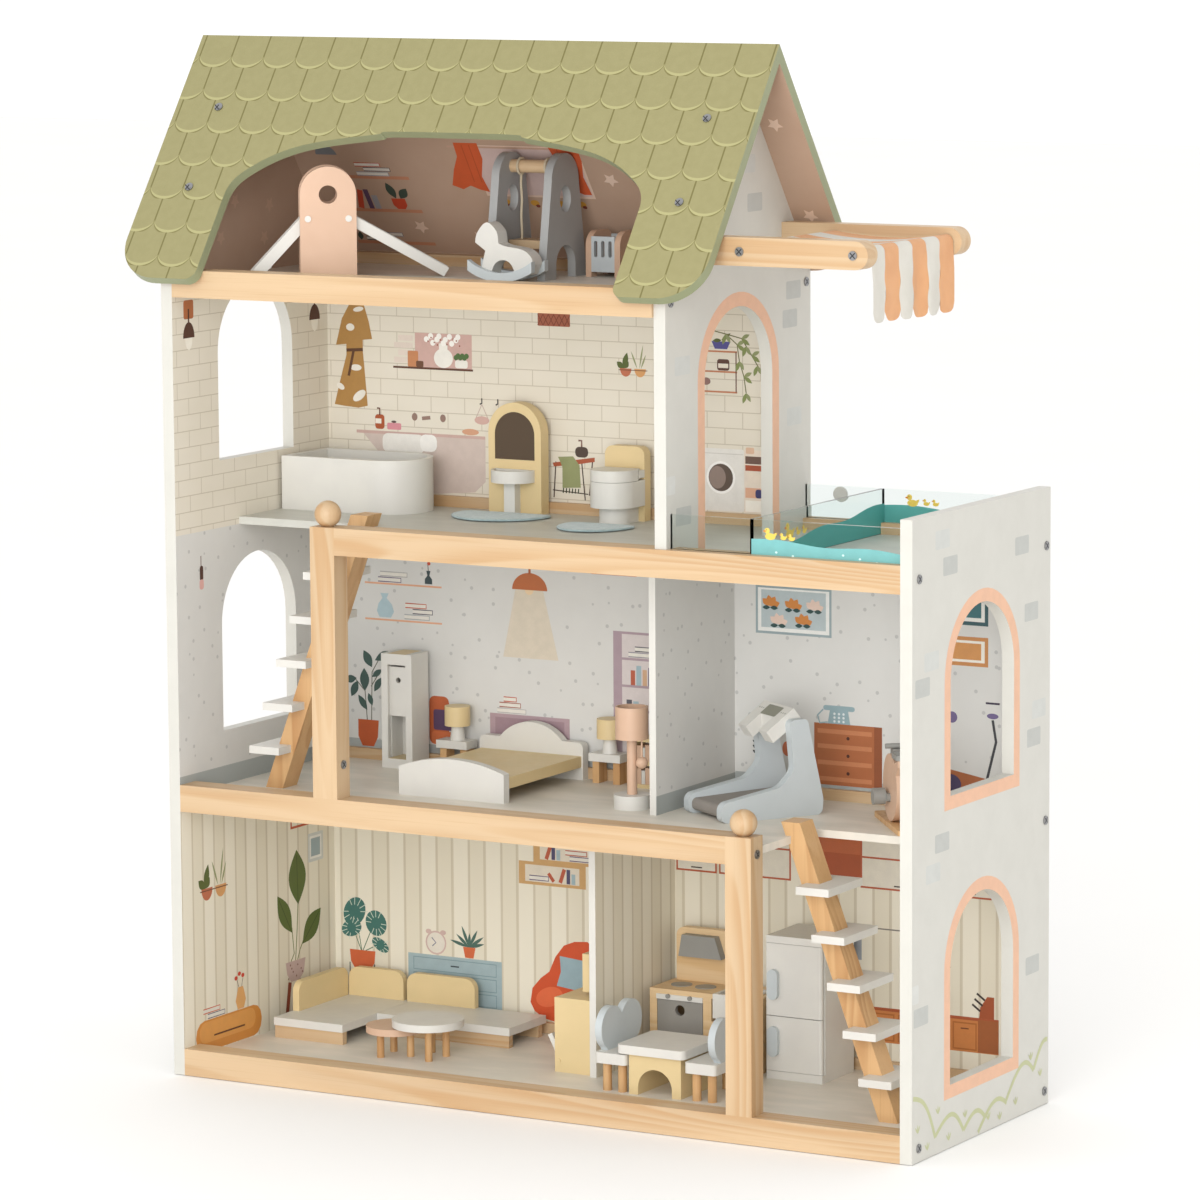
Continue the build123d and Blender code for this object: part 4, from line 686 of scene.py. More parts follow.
def bathroom_pictures():
    page = Print("bathroom_back_pictures", at(0, BACK, 0))
    robe, patch, belt = "#A87E45", "#E2DDD2", "#5A3A26"
    page.shape(robe, [(22, 603), (35, 603), (40, 588), (43, 574), (34, 573), (34, 563), (36, 542),
                      (38, 519),
                      (29, 517), (15, 518), (6, 519), (12, 540), (18, 560), (18, 569), (8, 568), (14, 590)])
    for u, v, a, b, turn in ((22, 583, 4, 3, 0), (30, 598, 5, 2, 10), (27, 550, 5.5, 2.6, 0),
                             (12, 534, 4, 2.4, -30),
                             (30, 527, 7, 3.5, 35)):
        page.oval(patch, u, v, a, b, turn)
    page.line(belt, [(18, 564), (34, 565)], 2.6)
    page.line(belt, [(25, 564), (20, 543)], 2.4)
    page.rect("#C9A69D", 84, 553, 138, 581)
    for row in range(4):
        page.rect("#D9CCC0", 64 + 4 * (row % 2), 556 + row * 6, 82, 560.6 + row * 6)
    page.rounded("#C08258", 77, 553, 87, 566, 1)
    page.rounded("#6A4632", 85, 553, 92, 558, 1)
    page.oval("#E9E6DE", 111, 561, 9, 8)
    page.rect("#E9E6DE", 107, 566, 115, 573)
    for i in range(11):
        page.oval("#F1EEE8", 95 + i * 3 + (i % 2), 576 + 3.2 * sin(i * 2.1), 2.4)
        page.oval("#8C4A3A", 96.5 + i * 3, 574.4 + 3.0 * sin(i * 1.7), 0.7)
    page.rounded("#E4E1D9", 122, 553.5, 134, 560, 2)
    for i in range(6):
        page.oval("#4E6B3A", 123 + i * 2, 562 + (i % 2) * 1.5, 2.2)
    page.rect("#5B3A2B", 63, 551.3, 139, 553)

    page.shape("#C9B9B0", [(32, 498), (150, 499), (150, 462), (140, 453), (104, 450), (60, 450), (50, 480)])
    page.rect("#C3A49B", 27, 496.5, 150, 499)
    page.rounded("#E3E0D9", 52, 482, 92, 497.5, 5)
    page.rounded("#ECEAE4", 88, 484, 104, 498, 5)
    page.rounded("#A4522E", 45, 500.5, 54, 512.5, 2.5)
    page.rect("#E6DFD2", 45.3, 505, 51, 509)
    page.line("#5A2D20", [(49.5, 512), (49.5, 517.5), (47, 517.5)], 1.4)
    page.rounded("#D08A93", 56.5, 500.5, 70, 506, 1.2)
    page.oval("#5A4A44", 63, 507, 2.4, 1)
    for u in (83, 110):
        page.oval("#8E7468", u, 512, 2.7, 3.2)
    page.line("#8E7468", [(90, 511), (98, 512)], 3)
    page.oval("#CC9A7C", 136, 502, 8, 2.6)
    for u in (147, 162):
        page.line("#3A3431", [(u, 530), (u, 526), (u - 2, 525)], 1.2)
    page.line("#B9A398", [(147, 525), (141, 513)], 0.7)
    page.line("#B9A398", [(147, 525), (153, 513)], 0.7)
    page.oval("#C9A59B", 147, 512, 7, 3.4)
    page.rounded("#9E5A42", 200, 591, 230, 602, 1)
    for i in range(6):
        page.line("#7A4130", [(200 + i * 5, 591.5), (205 + i * 5, 600.5)], 0.7)
        page.line("#7A4130", [(205 + i * 5, 591.5), (200 + i * 5, 600.5)], 0.7)

    for leg in (((216, 482), (214, 453)), ((240, 482), (243, 452)), ((250, 484), (247, 456))):
        page.line("#4A3A32", leg, 1.1)
    page.line("#4A3A32", [(213, 459), (246, 457)], 0.9)
    page.shape("#A8563A", [(213, 481), (252, 487), (252, 483.5), (232, 480), (214, 478)])
    page.shape("#8F9468", [(218, 486), (232, 487), (238, 480), (239, 462), (222, 461), (222, 478)])
    for i in range(6):
        page.line("#3F4433", [(223 + i * 2.8, 461), (222.6 + i * 2.8, 457)], 1.1)
    page.rounded("#4E4038", 234, 486.5, 246, 495, 3.5)
    page.line("#7A5A50", [(240, 495), (240, 500), (237, 500)], 1.6)
    hanging_pots(page, 281, 560, 0.66)

    for v in (545, 561, 577):
        page.line("#B97A58", [(348, v), (382, v)], 1.4)
    page.line("#6B4A3A", [(381, 577), (381, 545)], 1.1)
    page.shape("#4F4C8A", [(359, 585), (376, 585), (373, 579), (362, 579)])
    page.rounded("#5A3A30", 364, 562, 375, 571, 2)
    page.rect("#E3DACC", 365, 564, 374, 567.5)
    page.oval("#8A6A62", 354, 553, 4, 3)
    for turn, length in ((165, 8), (15, 10)):
        page.leaf(GREENS[0], 368, 586, length, 3.2, turn + 20)
    vine = [(362, 593), (372, 591), (382, 583), (384, 570), (388, 558), (390, 545)]
    page.line("#6C6B3F", vine, 0.9)
    page.line("#6C6B3F", [(372, 591), (386, 588), (393, 578), (401, 566)], 0.9)
    for i, (u, v) in enumerate(vine[1:] + [(386, 588), (390, 582), (395, 575), (400, 567)]):
        page.leaf("#7F8A52", u, v, 9, 3.4, -35 if i % 2 else -110)
        page.leaf("#8C9366", u, v, 8, 3.2, 25 if i % 2 else -60)
    page.rounded("#DEDBD5", 351, 450.5, 388, 500, 2)
    page.line("#C9C5BE", [(352, 496), (387, 496)], 0.7)
    page.oval("#F0EEEA", 367, 477, 13)
    page.oval("#5B4C42", 367, 477, 11)
    page.oval("#8C7B72", 364, 477, 7.5, 9)
    page.rect("#E0D3C4", 388, 450.5, 408, 500)
    for v, tall, code in ((489, 6, "#6C5348"), (483.5, 4.5, "#A65236"), (462, 8, "#D9A98C"),
                          (451, 9, "#EDE8DE")):
        page.rect(code, 389, v, 407, v + tall)
    page.rounded("#D7B59A", 389.5, 497, 397, 502, 1)
    page.rounded("#3B3B6A", 398, 462, 404, 469, 2)
    page.place()

    side = Print("bathroom_left_pictures", at(0, 0, 0), BACKWARDS, UP, RIGHTWARDS)
    for v in (23, 207):
        side.rounded("#A8643A", v - 7, 605, v + 7, 620, 2)
        side.line("#4E2E22", [(v, 613), (v, 602)], 2)
        side.oval("#E9E4D8", v, 589, 5, 8.5)
        side.oval("#4E2E22", v, 590, 8, 12.5, start=0, stop=180)
    side.place()


def plant_in_pot(page, u, v):
    """A tall plant with pointed leaves in a round red pot."""
    for stem in (((u, v + 20), (u - 2, v + 46), (u - 12, v + 56)),
                 ((u + 4, v + 20), (u + 5, v + 62), (u + 16, v + 80)),
                 ((u + 4, v + 50), (u + 12, v + 62))):
        page.line("#6E6F62", stem, 0.9)
    for du, dv, length, width, turn in ((5, 66, 16, 8, 120), (8, 72, 18, 7, 28), (-2, 46, 19, 9, 92),
                                       (-10, 56, 12, 6.5, 190), (-9, 54, 15, 7, 245), (5, 58, 12, 5, 35),
                                       (7, 46, 14, 6, 60), (0, 30, 15, 6, 125), (5, 34, 11, 5, 110)):
        page.leaf("#3F5650", u + du, v + dv, length, width, turn)
    page.shape("#B4552D", [(u - 9, v + 22), (u + 11, v + 22), (u + 10, v + 8), (u + 6, v), (u - 5, v),
                           (u - 9, v + 8)])


def bedroom_pictures():
    page = Print("bedroom_back_pictures", at(0, BACK, 0))
    page.rect("#A3A8A6", 0.2, 235.6, 372.9, 242.5)
    for v in (343, 373):
        page.line("#D9A583", [(33, v), (107, v)], 1.5)
    stack(page, 46, 374.2, ((0, 22, "#6B5B78"), (2, 26, "#A9A6A4")))
    page.shape("#39474A", [(91, 375), (98, 375), (98, 379), (95.5, 382), (96.5, 386), (92.5, 386),
                           (93.5, 382), (91, 379)])
    page.line("#4A4440", [(94.5, 386), (94, 391)], 0.6)
    page.oval("#C2503A", 95, 392, 1.6)
    page.shape("#A9BFC6", [(47, 345), (58, 345), (61, 350), (59, 356), (54, 361), (56, 365), (48, 365),
                           (50, 361),
                           (46, 356), (44.5, 350)])
    stack(page, 71, 344.5, ((0, 24, "#A3A6A8"), (8, 19, "#4E4A5A"), (1, 20, "#B9583E")))
    page.shape("#D2C8B6", [(177, 376), (203, 376), (217, 320), (165, 320)])
    page.oval("#E3C9A2", 190, 376, 4)
    page.oval("#B4683E", 190.5, 376, 16.5, 14, start=0, stop=180)
    page.line("#A65C36", [(190.5, 389), (190.5, 420)], 2.2)
    plant_in_pot(page, 34, 236.5)
    page.rounded("#B9603A", 94, 243, 113, 283, 5)
    page.rounded("#5B4460", 98, 255, 117, 272, 2)
    page.rounded("#C96E43", 96, 243, 118, 254, 3)
    page.rect("#AD9499", 152, 240, 227, 273)
    page.rect("#9C8289", 157, 240, 222, 270)
    stack(page, 159, 273.5, ((0, 27, "#B3B0AE"), (2, 20, "#9C5A4A"), (6, 12, "#B9583E")))
    page.rect("#CFC6C4", 268, 242, 318, 348)
    page.frame("#A6929A", 268, 242, 318, 348, 2)
    page.rect("#A6929A", 270, 242, 276, 346)
    for v in (261, 283, 303, 325):
        page.rect("#A6929A", 276, v, 316, v + 2)
    stack(page, 280, 327.4, ((2, 24, "#8E8A92"), (8, 20, "#57565E")))
    books(page, 284, 305, ((4, 12, "#B05A41"), (4.5, 16, "#9DB3BA"), (4, 13, "#C9A383"),
                           (5, 15, "#6C6078")))
    books(page, 280, 285, ((5, 8, "#57565E"), (5, 7, "#9DB3BA")))
    page.line("#B9583A", [(248, 393.5), (290, 393.5)], 1.3)
    page.rounded("#9DAEB2", 318, 375, 352, 412, 1)
    page.rounded("#D8C3B4", 321, 378, 349, 409, 1)
    page.place()
    side = Print("bedroom_left_pictures", at(0, 0, 0), BACKWARDS, UP, RIGHTWARDS)
    side.line("#8E7C78", [(35, 415), (35, 405)], 1.4)
    side.rounded("#4E2E22", 33, 395, 38, 407, 2)
    side.rounded("#D9A9A0", 32.5, 388, 38.5, 396, 2)
    side.place()


def tulip(page, u, v, code, leaf_code="#2F4A48"):
    for turn in (20, 60, 100, 140):
        page.leaf(code, u, v - 2, 9, 5, turn, 0.6)
    for turn in (8, 172):
        page.leaf(leaf_code, u, v - 3, 7, 3.4, turn - 10 if turn < 90 else turn + 10)


def gym_pictures():
    page = Print("gym_back_pictures", at(0, BACK, 0))
    page.rect("#A3A8A6", 379.2, 235.6, 639.8, 242.5)
    page.rect("#93A2A5", 398, 355, 465.5, 393.5)
    page.rect("#E3E3DF", 400, 357, 463.5, 391.5)
    page.rect("#B0BBBD", 403, 360, 460.5, 390)
    for u, v, code in ((411, 379, "#C8803F"), (431, 378, "#C8803F"), (450, 378, "#DBC2B3"),
                       (418, 365, "#DBC2B3"),
                       (440, 366, "#C8803F")):
        tulip(page, u, v, code)
    page.rect("#A5623C", 450, 238, 510, 287)
    page.rect("#8C4F30", 503, 238, 510, 287)
    for v in (241, 254, 267, 279):
        page.rect("#BC7A52", 453, v, 501, v + 3.6)
    for v in (248, 262, 276):
        page.oval("#4A2A20", 480, v, 1.4)
    page.shape("#8FA6AC", [(462, 287), (482, 287), (480, 298), (464, 298)])
    page.rounded("#8FA6AC", 458, 297.5, 486, 301.5, 2)
    page.line("#8FA6AC", [(458, 298), (453, 293), (455, 287), (462, 288)], 1.3)
    for i in range(9):
        page.oval("#D5DBDB", 468 + (i % 3) * 4, 289 + (i // 3) * 3, 1)
    for u, v in ((400, 258), (436, 258)):
        page.line("#3A3F42", [(u, v), (u - 1, v + 16)], 0.8)
        for i in range(4):
            page.leaf("#2F3638", u - 0.5, v + i * 4, 5.5, 2.4, 35)
            page.leaf("#2F3638", u - 0.5, v + i * 4, 5.5, 2.4, 150)
    page.oval("#C4714F", 426, 264, 4.5, 6)
    page.rect("#39595E", 560, 373, 602, 412)
    page.rect("#E6E4DE", 563, 376, 599, 409)
    page.rect("#3E6F74", 566, 379, 596, 406)
    page.rect("#C28650", 555, 341, 602, 364)
    page.rect("#E9E3D7", 558, 344, 599, 361)
    page.rect("#CB8F55", 561, 346, 596, 359)
    page.oval("#6C5F86", 571, 300, 4.5)
    page.shape("#A5623C", [(550, 238), (562, 260), (603, 253), (603, 242), (580, 236)])
    page.oval("#4C4160", 570, 247, 9, 8)
    page.line("#3F3F42", [(601, 252), (609, 283), (606, 300)], 2.2)
    page.oval("#6C5F86", 606, 303, 5, 2.2)
    page.line("#3F3648", [(600, 313), (612, 313)], 1.6)
    page.place()


def monstera(page, u, v):
    """A plant with broad cut leaves in a wide orange pot on a wire stand."""
    for du, dv, a, b, turn in ((-7, 34, 13, 10, 60), (14, 26, 11, 10, 120), (-10, 20, 10, 7, 20),
                               (18, 8, 9, 5, -30)):
        page.line("#5E7A5E", [(u, v), (u + du * 0.6, v + dv * 0.7)], 0.8)
        page.oval("#3F6E66", u + du, v + dv, a, b, turn)
        for i in range(-2, 3):
            lean = radians(turn + i * 28)
            for side in (-1, 1):
                tip = (u + du + side * a * cos(lean), v + dv + side * a * sin(lean))
                root = (u + du + side * a * 0.45 * cos(lean), v + dv + side * a * 0.45 * sin(lean))
                page.line("#C9D3C4", [root, tip], 0.6)
    page.shape("#C8623A", [(u - 12, v + 2), (u + 13, v + 2), (u + 12, v - 8), (u + 8, v - 14),
                           (u - 7, v - 14),
                           (u - 11, v - 8)])
    for side in (-12, 12):
        page.line("#4E4A45", [(u + side, v - 9), (u + side, v - 26)], 0.9)


def living_room_pictures():
    page = Print("living_room_back_pictures", at(0, BACK, 0))
    page.rect("#9DB1B6", 71, 24, 161, 66.5)
    for v in (27, 40, 53):
        page.frame("#7F959A", 76, v, 156, v + 11, 0.7)
        page.line("#3F484B", [(112, v + 5.5), (120, v + 5.5)], 1.2)
    page.oval("#CBB0A8", 98, 77, 10)
    page.oval("#DED7CB", 98, 77, 8.6)
    page.line("#7C7A8A", [(94, 81), (98, 77), (94.5, 74)], 1)
    for u in (91, 105):
        page.oval("#CBB0A8", u, 86, 2.8, 2)
    page.shape("#CC673F", [(124, 76), (136, 76), (134, 67), (126, 67)])
    for turn, length in ((15, 15), (35, 17), (62, 17), (88, 12), (112, 19), (140, 16), (165, 19)):
        page.leaf("#47665C", 130, 76, length, 2.8, turn)
    monstera(page, 26, 62)
    page.shape("#C9502A", [(188, 36), (190, 48), (198, 57), (206, 63), (212, 76), (220, 86), (230, 90),
                           (242, 91),
                           (252, 84), (256, 60), (256, 30), (240, 22), (215, 21), (200, 24), (192, 29)])
    page.oval("#D9683F", 206, 42, 13, 8, 20)
    page.shape("#93ABB3", [(216, 77), (238, 75), (242, 74), (241, 52), (230, 50), (213, 52), (217, 64)])
    for u0, v0, u1, v1 in ((192, 153, 262, 175), (178, 134, 241, 153)):
        page.rect("#C79F6B", u0, v0, u1, v1)
        page.rect("#DAD1C1", u0 + 6, v0 + 2.5, u1 - 6, v1 - 2.5)
    stack(page, 188, 137.5, ((0, 18, "#6B5B78"),))
    page.line("#B4583E", [(206, 144.5), (211, 138)], 3)
    page.line("#B4583E", [(217, 137.5), (221, 149)], 3.4)
    books(page, 223, 137, ((3.4, 12, "#4E4A6A"), (3.6, 8.5, "#9DB3BA")))
    page.line("#B4583E", [(204, 156), (208, 167)], 3.4)
    books(page, 209, 156, ((3.4, 11, "#4E4A6A"), (3.6, 8.5, "#9DB3BA")))
    stack(page, 222, 156, ((4, 20, "#6B5B78"), (0, 20, "#B4583E")))
    page.place()

    side = Print("living_room_left_pictures", at(0, 0, 0), BACKWARDS, UP, RIGHTWARDS)
    hanging_pots(side, 36, 146, 1.0)
    side.rounded("#CF8A41", 17, 13, 113, 38.5, 12)
    side.rounded("#D99A52", 22, 20, 104, 37, 8)
    side.line("#5A3520", [(43, 24.5), (88, 24.5)], 1.4)
    stack(side, 28, 39, ((6, 25, "#6F6A78"), (0, 24, "#C8613C")))
    side.shape("#D9A468", [(78, 39), (87, 39), (90, 46), (88, 52), (86, 57), (79, 57), (77, 52), (75, 46)])
    side.line("#5A4A40", [(80, 57), (77, 64)], 0.6)
    side.line("#5A4A40", [(84, 57), (86, 64)], 0.6)
    for u, v in ((76, 65), (81, 68), (86, 66)):
        side.oval("#C2402C", u, v, 2.3, 1.8)
    for stem in (((158, 64), (163, 70), (160, 92)), ((165, 64), (168, 90), (170, 116)),
                 ((168, 64), (172, 72), (178, 80))):
        side.line("#7C8350", stem, 1.2)
    for u, v, length, width, turn in ((170, 110, 46, 26, 92), (160, 88, 40, 17, 122),
                                      (176, 76, 38, 19, 42)):
        side.leaf("#56662C", u, v, length, width, turn)
        lean = radians(turn)
        side.line("#3F4C20", [(u, v), (u + length * 0.9 * cos(lean), v + length * 0.9 * sin(lean))], 0.8)
    side.shape("#C3ABA5", [(150, 64), (180, 64), (177, 52), (170, 47), (158, 47), (152, 54)])
    for i in range(8):
        side.oval("#8A6A60", 154 + (i * 7) % 23, 50 + (i * 5) % 12, 0.9)
    side.line("#8A4530", [(156, 47), (150, 14)], 5)
    side.line("#8A4530", [(170, 47), (176, 14)], 5)
    side.rounded("#C9CCC8", 186, 142, 209, 166, 1)
    side.rect("#E3E2DC", 188.5, 144.5, 206.5, 163.5)
    side.rect("#98A9AE", 190.5, 146.5, 204.5, 161.5)
    side.frame("#B9583A", 160, 174, 192, 196, 2)
    side.place()


def kitchen_pictures():
    page = Print("kitchen_back_pictures", at(0, BACK, 0))
    outline, door, tall_top = "#B0583A", "#DCD6C8", 203
    for u0, u1, v0 in ((325, 362, 158), (364, 429, 158), (491, 560, 158), (562, 612, 158)):
        page.rect(outline, u0, v0, u1, tall_top)
        page.rect(door, u0 + 1.5, v0 + 1.5, u1 - 1.5, 182)
        page.rect(door, u0 + 1.5, 183.5, u1 - 1.5, tall_top - 1.5)
        page.line("#4A423C", [((u0 + u1) / 2 - 5, v0 + 3.5), ((u0 + u1) / 2 + 5, v0 + 3.5)], 1.1)
    page.shape("#A5522F", [(455, 184), (491, 184), (491, 166), (452, 166), (445, 184)])
    page.rect("#B5613A", 445, 184, 491, 203)
    page.line("#7E7A72", [(497, 126.5), (560, 126.5)], 1.1)
    page.rect("#9AA0A8", 478, 100, 492, 118)
    page.rect("#C47C42", 440, 35.5, 612, 62)
    page.rect("#A5522F", 440, 61, 612, 63.5)
    for u0 in (500, 524, 548, 572):
        page.frame("#A8632F", u0, 37, u0 + 21, 59, 1.2)
        page.line("#6B3A20", [(u0 + 7, 54), (u0 + 14, 54)], 1.0)
    page.rect("#9C5A30", 594, 36, 612, 62)
    page.shape("#9E4F2C", [(595, 63.5), (608, 63.5), (608, 81), (602, 81), (596, 72)])
    for i in range(3):
        page.line("#3B302C", [(589 + i * 2, 74 + i * 4.5), (596 + i * 2, 69 + i * 4.5)], 1.7)
    page.line("#3A3431", [(568, 106), (569, 101)], 2.4)
    page.rounded("#A98A6E", 336, 64, 352, 78, 2)
    page.place()
    side = Print("kitchen_right_pictures", at(RIGHT, 0, 0), -BACKWARDS, UP, -RIGHTWARDS)
    side.rect("#C47C42", -226, 35.5, -186, 62)
    side.rect("#A5522F", -226, 61, -186, 63.5)
    side.place()


def star(page, code, u, v, size):
    page.shape(code, [(u + size * (1.0 if i % 2 else 0.5) * cos(radians(36 * i + 18)),
                       v + size * (1.0 if i % 2 else 0.5) * sin(radians(36 * i + 18))) for i in range(10)])


def attic_pictures():
    lean = radians(35.8)
    thick = 8.5 / sin(lean)
    crest = at(0, DEPTH_MIDDLE, RIDGE / MM - thick)
    rise = Vector((0, -sin(lean), cos(lean)))
    page = Print("attic_back_pictures", crest, RIGHTWARDS, rise, -BACKWARDS * cos(lean) - UP * sin(lean))
    pale = "#DEC5B2"
    for u, v in ((20, -60), (130, -75), (95, -175), (148, -184), (290, -120), (280, -60), (330, -150),
                 (455, -60), (458, -150)):
        star(page, pale, u, v, 7)
    for v in (-126, -160.5, -194.5):
        page.rect("#BE8467", 28, v, 102, v + 3.2)
    stack(page, 54, -123, ((0, 30, "#9A9AA0"), (8, 25, "#5A4A50"), (1, 24, "#B4472F")))
    page.line("#C04A2E", [(45, -157), (50, -138)], 5)
    books(page, 53, -157.3, ((4.6, 20, "#5B4460"), (5.4, 14, "#9A9AA0")))
    page.shape("#C0472B", [(77, -146), (90, -146), (90, -153), (87, -157), (80, -157), (77, -153)])
    page.leaf("#3C4A40", 82, -146, 17, 8, 105)
    page.leaf("#3C4A40", 86, -146, 14, 8, 50)
    stack(page, 38, -191, ((0, 28, "#4A4044"), (14, 22, "#8A8488")))
    page.leaf("#3C4A40", 32, -191, 9, 5, 80)
    page.line("#6C7276", [(32, -96), (32, -80)], 2)
    page.oval("#7C8286", 32, -102, 10, 10, start=0, stop=180)
    page.rect("#CDB6B0", 172, -138, 268, -90)
    page.frame("#D9C0AC", 170, -140, 270, -88, 2)
    page.rect("#BE9C88", 150, -91, 275, -89)
    page.shape("#C85A32", [(157, -86), (179, -86), (179, -102), (172, -120), (174, -136), (166, -134),
                           (158, -130),
                           (150, -134), (141, -130), (148, -114), (156, -100)])
    page.shape("#C85A32", [(243, -86), (270, -86), (270, -102), (266, -118), (268, -136), (261, -136),
                           (254, -132),
                           (247, -136), (249, -112)])
    for u in (164, 171, 251, 259):
        page.line("#B04C2A", [(u, -88), (u - 1, -126)], 0.8)
    for u in (186, 212, 236, 255):
        page.oval("#C9963F", u, -146, 4, 3)
        page.oval("#7A3A2C", u + 2, -149, 2, 1.6)
    page.place()
    side = Print("attic_left_pictures", at(0, 0, 0), BACKWARDS, UP, RIGHTWARDS)
    for u, v in ((92, 694), (71, 666), (142, 688), (134, 662), (118, 735)):
        star(side, "#C4A58F", u, v, 6.5)
    side.place()


def bricks(page, places, size=(24, 14)):
    for i, (u, v) in enumerate(places):
        page.rounded("#B6B7B2" if i % 3 else "#C4C5C0", u - size[0] / 2, v - size[1] / 2, u + size[0] / 2,
                     v + size[1] / 2, 1.5)


def bushes(page):
    """The rounded tops of bushes, in outline, with tufts of grass below."""
    green = "#B8BB92"
    for u0, v0, u1, v1, bulge in ((2, 50, 39, 13, 9), (39, 14, 87, 9, 14), (87, 9, 124, 12, 9),
                                  (112, 2, 162, 15, 12),
                                  (160, 16, 210, 31, 16), (210, 32, 234.5, 51, 7)):
        points = []
        for i in range(13):
            t = i / 12
            rise = bulge * sin(pi * t)
            points.append((u0 + (u1 - u0) * t + rise * 0.25, v0 + (v1 - v0) * t + rise))
        page.line(green, points, 3.6)
    for u, v in ((10, 22), (26, 6), (44, 30), (62, 6), (90, 18), (130, 8), (150, 4), (178, 10), (205, 40),
                 (222, 24)):
        for turn in (60, 95, 130):
            page.leaf(green, u, v, 7, 1.8, turn)


def outside_walls():
    windows = {"left": ((270, 410), (488.5, 628.5)), "right": ((48.5, 188.5), (269, 409))}
    pages = {"right": Print("right_wall_outside", at(RIGHT + WALL, 0, 0), BACKWARDS, UP, RIGHTWARDS),
             "left": Print("left_wall_outside", at(-WALL, 0, 0), BACKWARDS, UP, -RIGHTWARDS)}
    for side, page in pages.items():
        for foot, crown in windows[side]:
            page.arch("#DDB193", DEPTH_MIDDLE, 54.5, foot, crown, 10.2)
        bushes(page)
    bricks(pages["right"], ((50, 464), (63, 443), (186, 444), (32, 375), (17, 357), (203, 391), (217, 314),
                            (208, 293),
                            (50, 236), (35, 215), (15, 110), (207, 115)))
    pages["right"].rounded("#CDCDC8", 0.4, 121, 11, 135, 1.5)
    bricks(pages["left"], ((40, 600), (26, 578), (205, 560), (216, 538), (30, 450), (45, 428), (200, 440),
                           (24, 330),
                           (212, 300), (60, 215), (48, 193), (190, 180), (30, 110), (205, 90)))
    for page in pages.values():
        page.place()
    tall = Print("tall_wall_outside", at(TALL + WALL, 0, 0), BACKWARDS, UP, RIGHTWARDS)
    tall.arch("#DDB193", DEPTH_MIDDLE, 54.5, SECOND + 0.3, 624, 11, sill=False)
    bricks(tall, ((29, 586), (208, 630), (202, 608), (209, 531), (30, 472), (145, 702), (134, 732)))
    tall.rounded("#CDCDC8", 3.5, 490, 17, 504, 1.5)
    tall.place()


def duck(page, u, v, size, flip=1):
    body, bill = "#DCC257", "#CC7F33"
    page.oval(body, u, v, 5.2 * size, 3 * size)
    page.oval(body, u - 3 * size * flip, v + 5 * size, 2.6 * size)
    page.leaf(body, u + 3 * size * flip, v, 5 * size, 2.4 * size, 45 if flip > 0 else 135)
    page.oval(bill, u - 5.6 * size * flip, v + 4.6 * size, 1.5 * size, 0.8 * size)
    page.oval("#3A3028", u - 3.6 * size * flip, v + 5.8 * size, 0.45 * size)


def water(page, code, u0, u1, foot, start, stop, crests, swell):
    """A sheet of water whose wavy top runs from one height to another."""
    steps = 48
    top = [(u0 + (u1 - u0) * i / steps,
            start + (stop - start) * i / steps + swell * sin(2 * pi * crests * i / steps))
           for i in range(steps + 1)]
    page.shape(code, [(u0, foot), (u1, foot)] + top[::-1])


def pool_pictures():
    panel = house(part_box("pool_panels")[0]), house(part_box("pool_panels")[1])
    foot, front, back = SECOND + 0.4, panel[0].y, panel[1].y
    page = Print("pool_front_water", at(0, front, 0), out=-BACKWARDS)
    water(page, "#74B2B2", 511, 639.6, foot, 461, 456.5, 1.6, 1.2)
    for i in range(9):
        page.oval("#CDEDEB", 518 + i * 14, foot + 4 + (i * 7) % 9, 1.0, 0.8)
    for u, size in ((527, 0.85), (538, 0.48), (545, 0.48)):
        duck(page, u, 463.5 - (u - 527) * 0.05, size)
    page.place()
    page = Print("pool_back_water", at(0, back - 3, 0), out=-BACKWARDS)
    water(page, "#55A29D", 511.5, 639.6, foot, 463, 459, 1.3, 1.4)
    for u, size in ((536, 0.9), (548, 0.5), (556, 0.5)):
        duck(page, u, 465.5, size)
    page.place()
    page = Print("pool_side_water", at(511.5, 0, 0), BACKWARDS, UP, RIGHTWARDS)
    water(page, "#4C9C97", 12.6, 227.4, foot, 449, 464, 2.5, 1.5)
    for u, size in ((70, 1.2), (84, 0.62), (94, 0.62)):
        duck(page, u, 457.5, size)
    page.place()


def screw_slot_shades():
    """A cross of painted shade in each screw head, standing in for the shadow in its slot."""
    for number, (low, high, faces) in enumerate(solids("screws")):
        size, centre = high - low, (low + high) / 2
        thin = min(range(3), key=lambda i: size[i])
        if thin == 0 and centre.x > 0:
            page = Print(f"screw_slot_shade_{number}", at(high.x, centre.y, centre.z), BACKWARDS, UP, RIGHTWARDS)
        elif thin == 1 and centre.y < DEPTH_MIDDLE:
            page = Print(f"screw_slot_shade_{number}", at(centre.x, low.y, centre.z), RIGHTWARDS, UP, -BACKWARDS)
        else:
            continue
        reach = 0.3 * sorted(size)[1]
        # painted shade: the dark cross is the shadow in the screw's slot, drawn as ink
        for end in (Vector((1, 1)), Vector((1, -1))):
            page.line("#2E2E30", [tuple(-end * reach), tuple(end * reach)], 0.9)
        page.place()


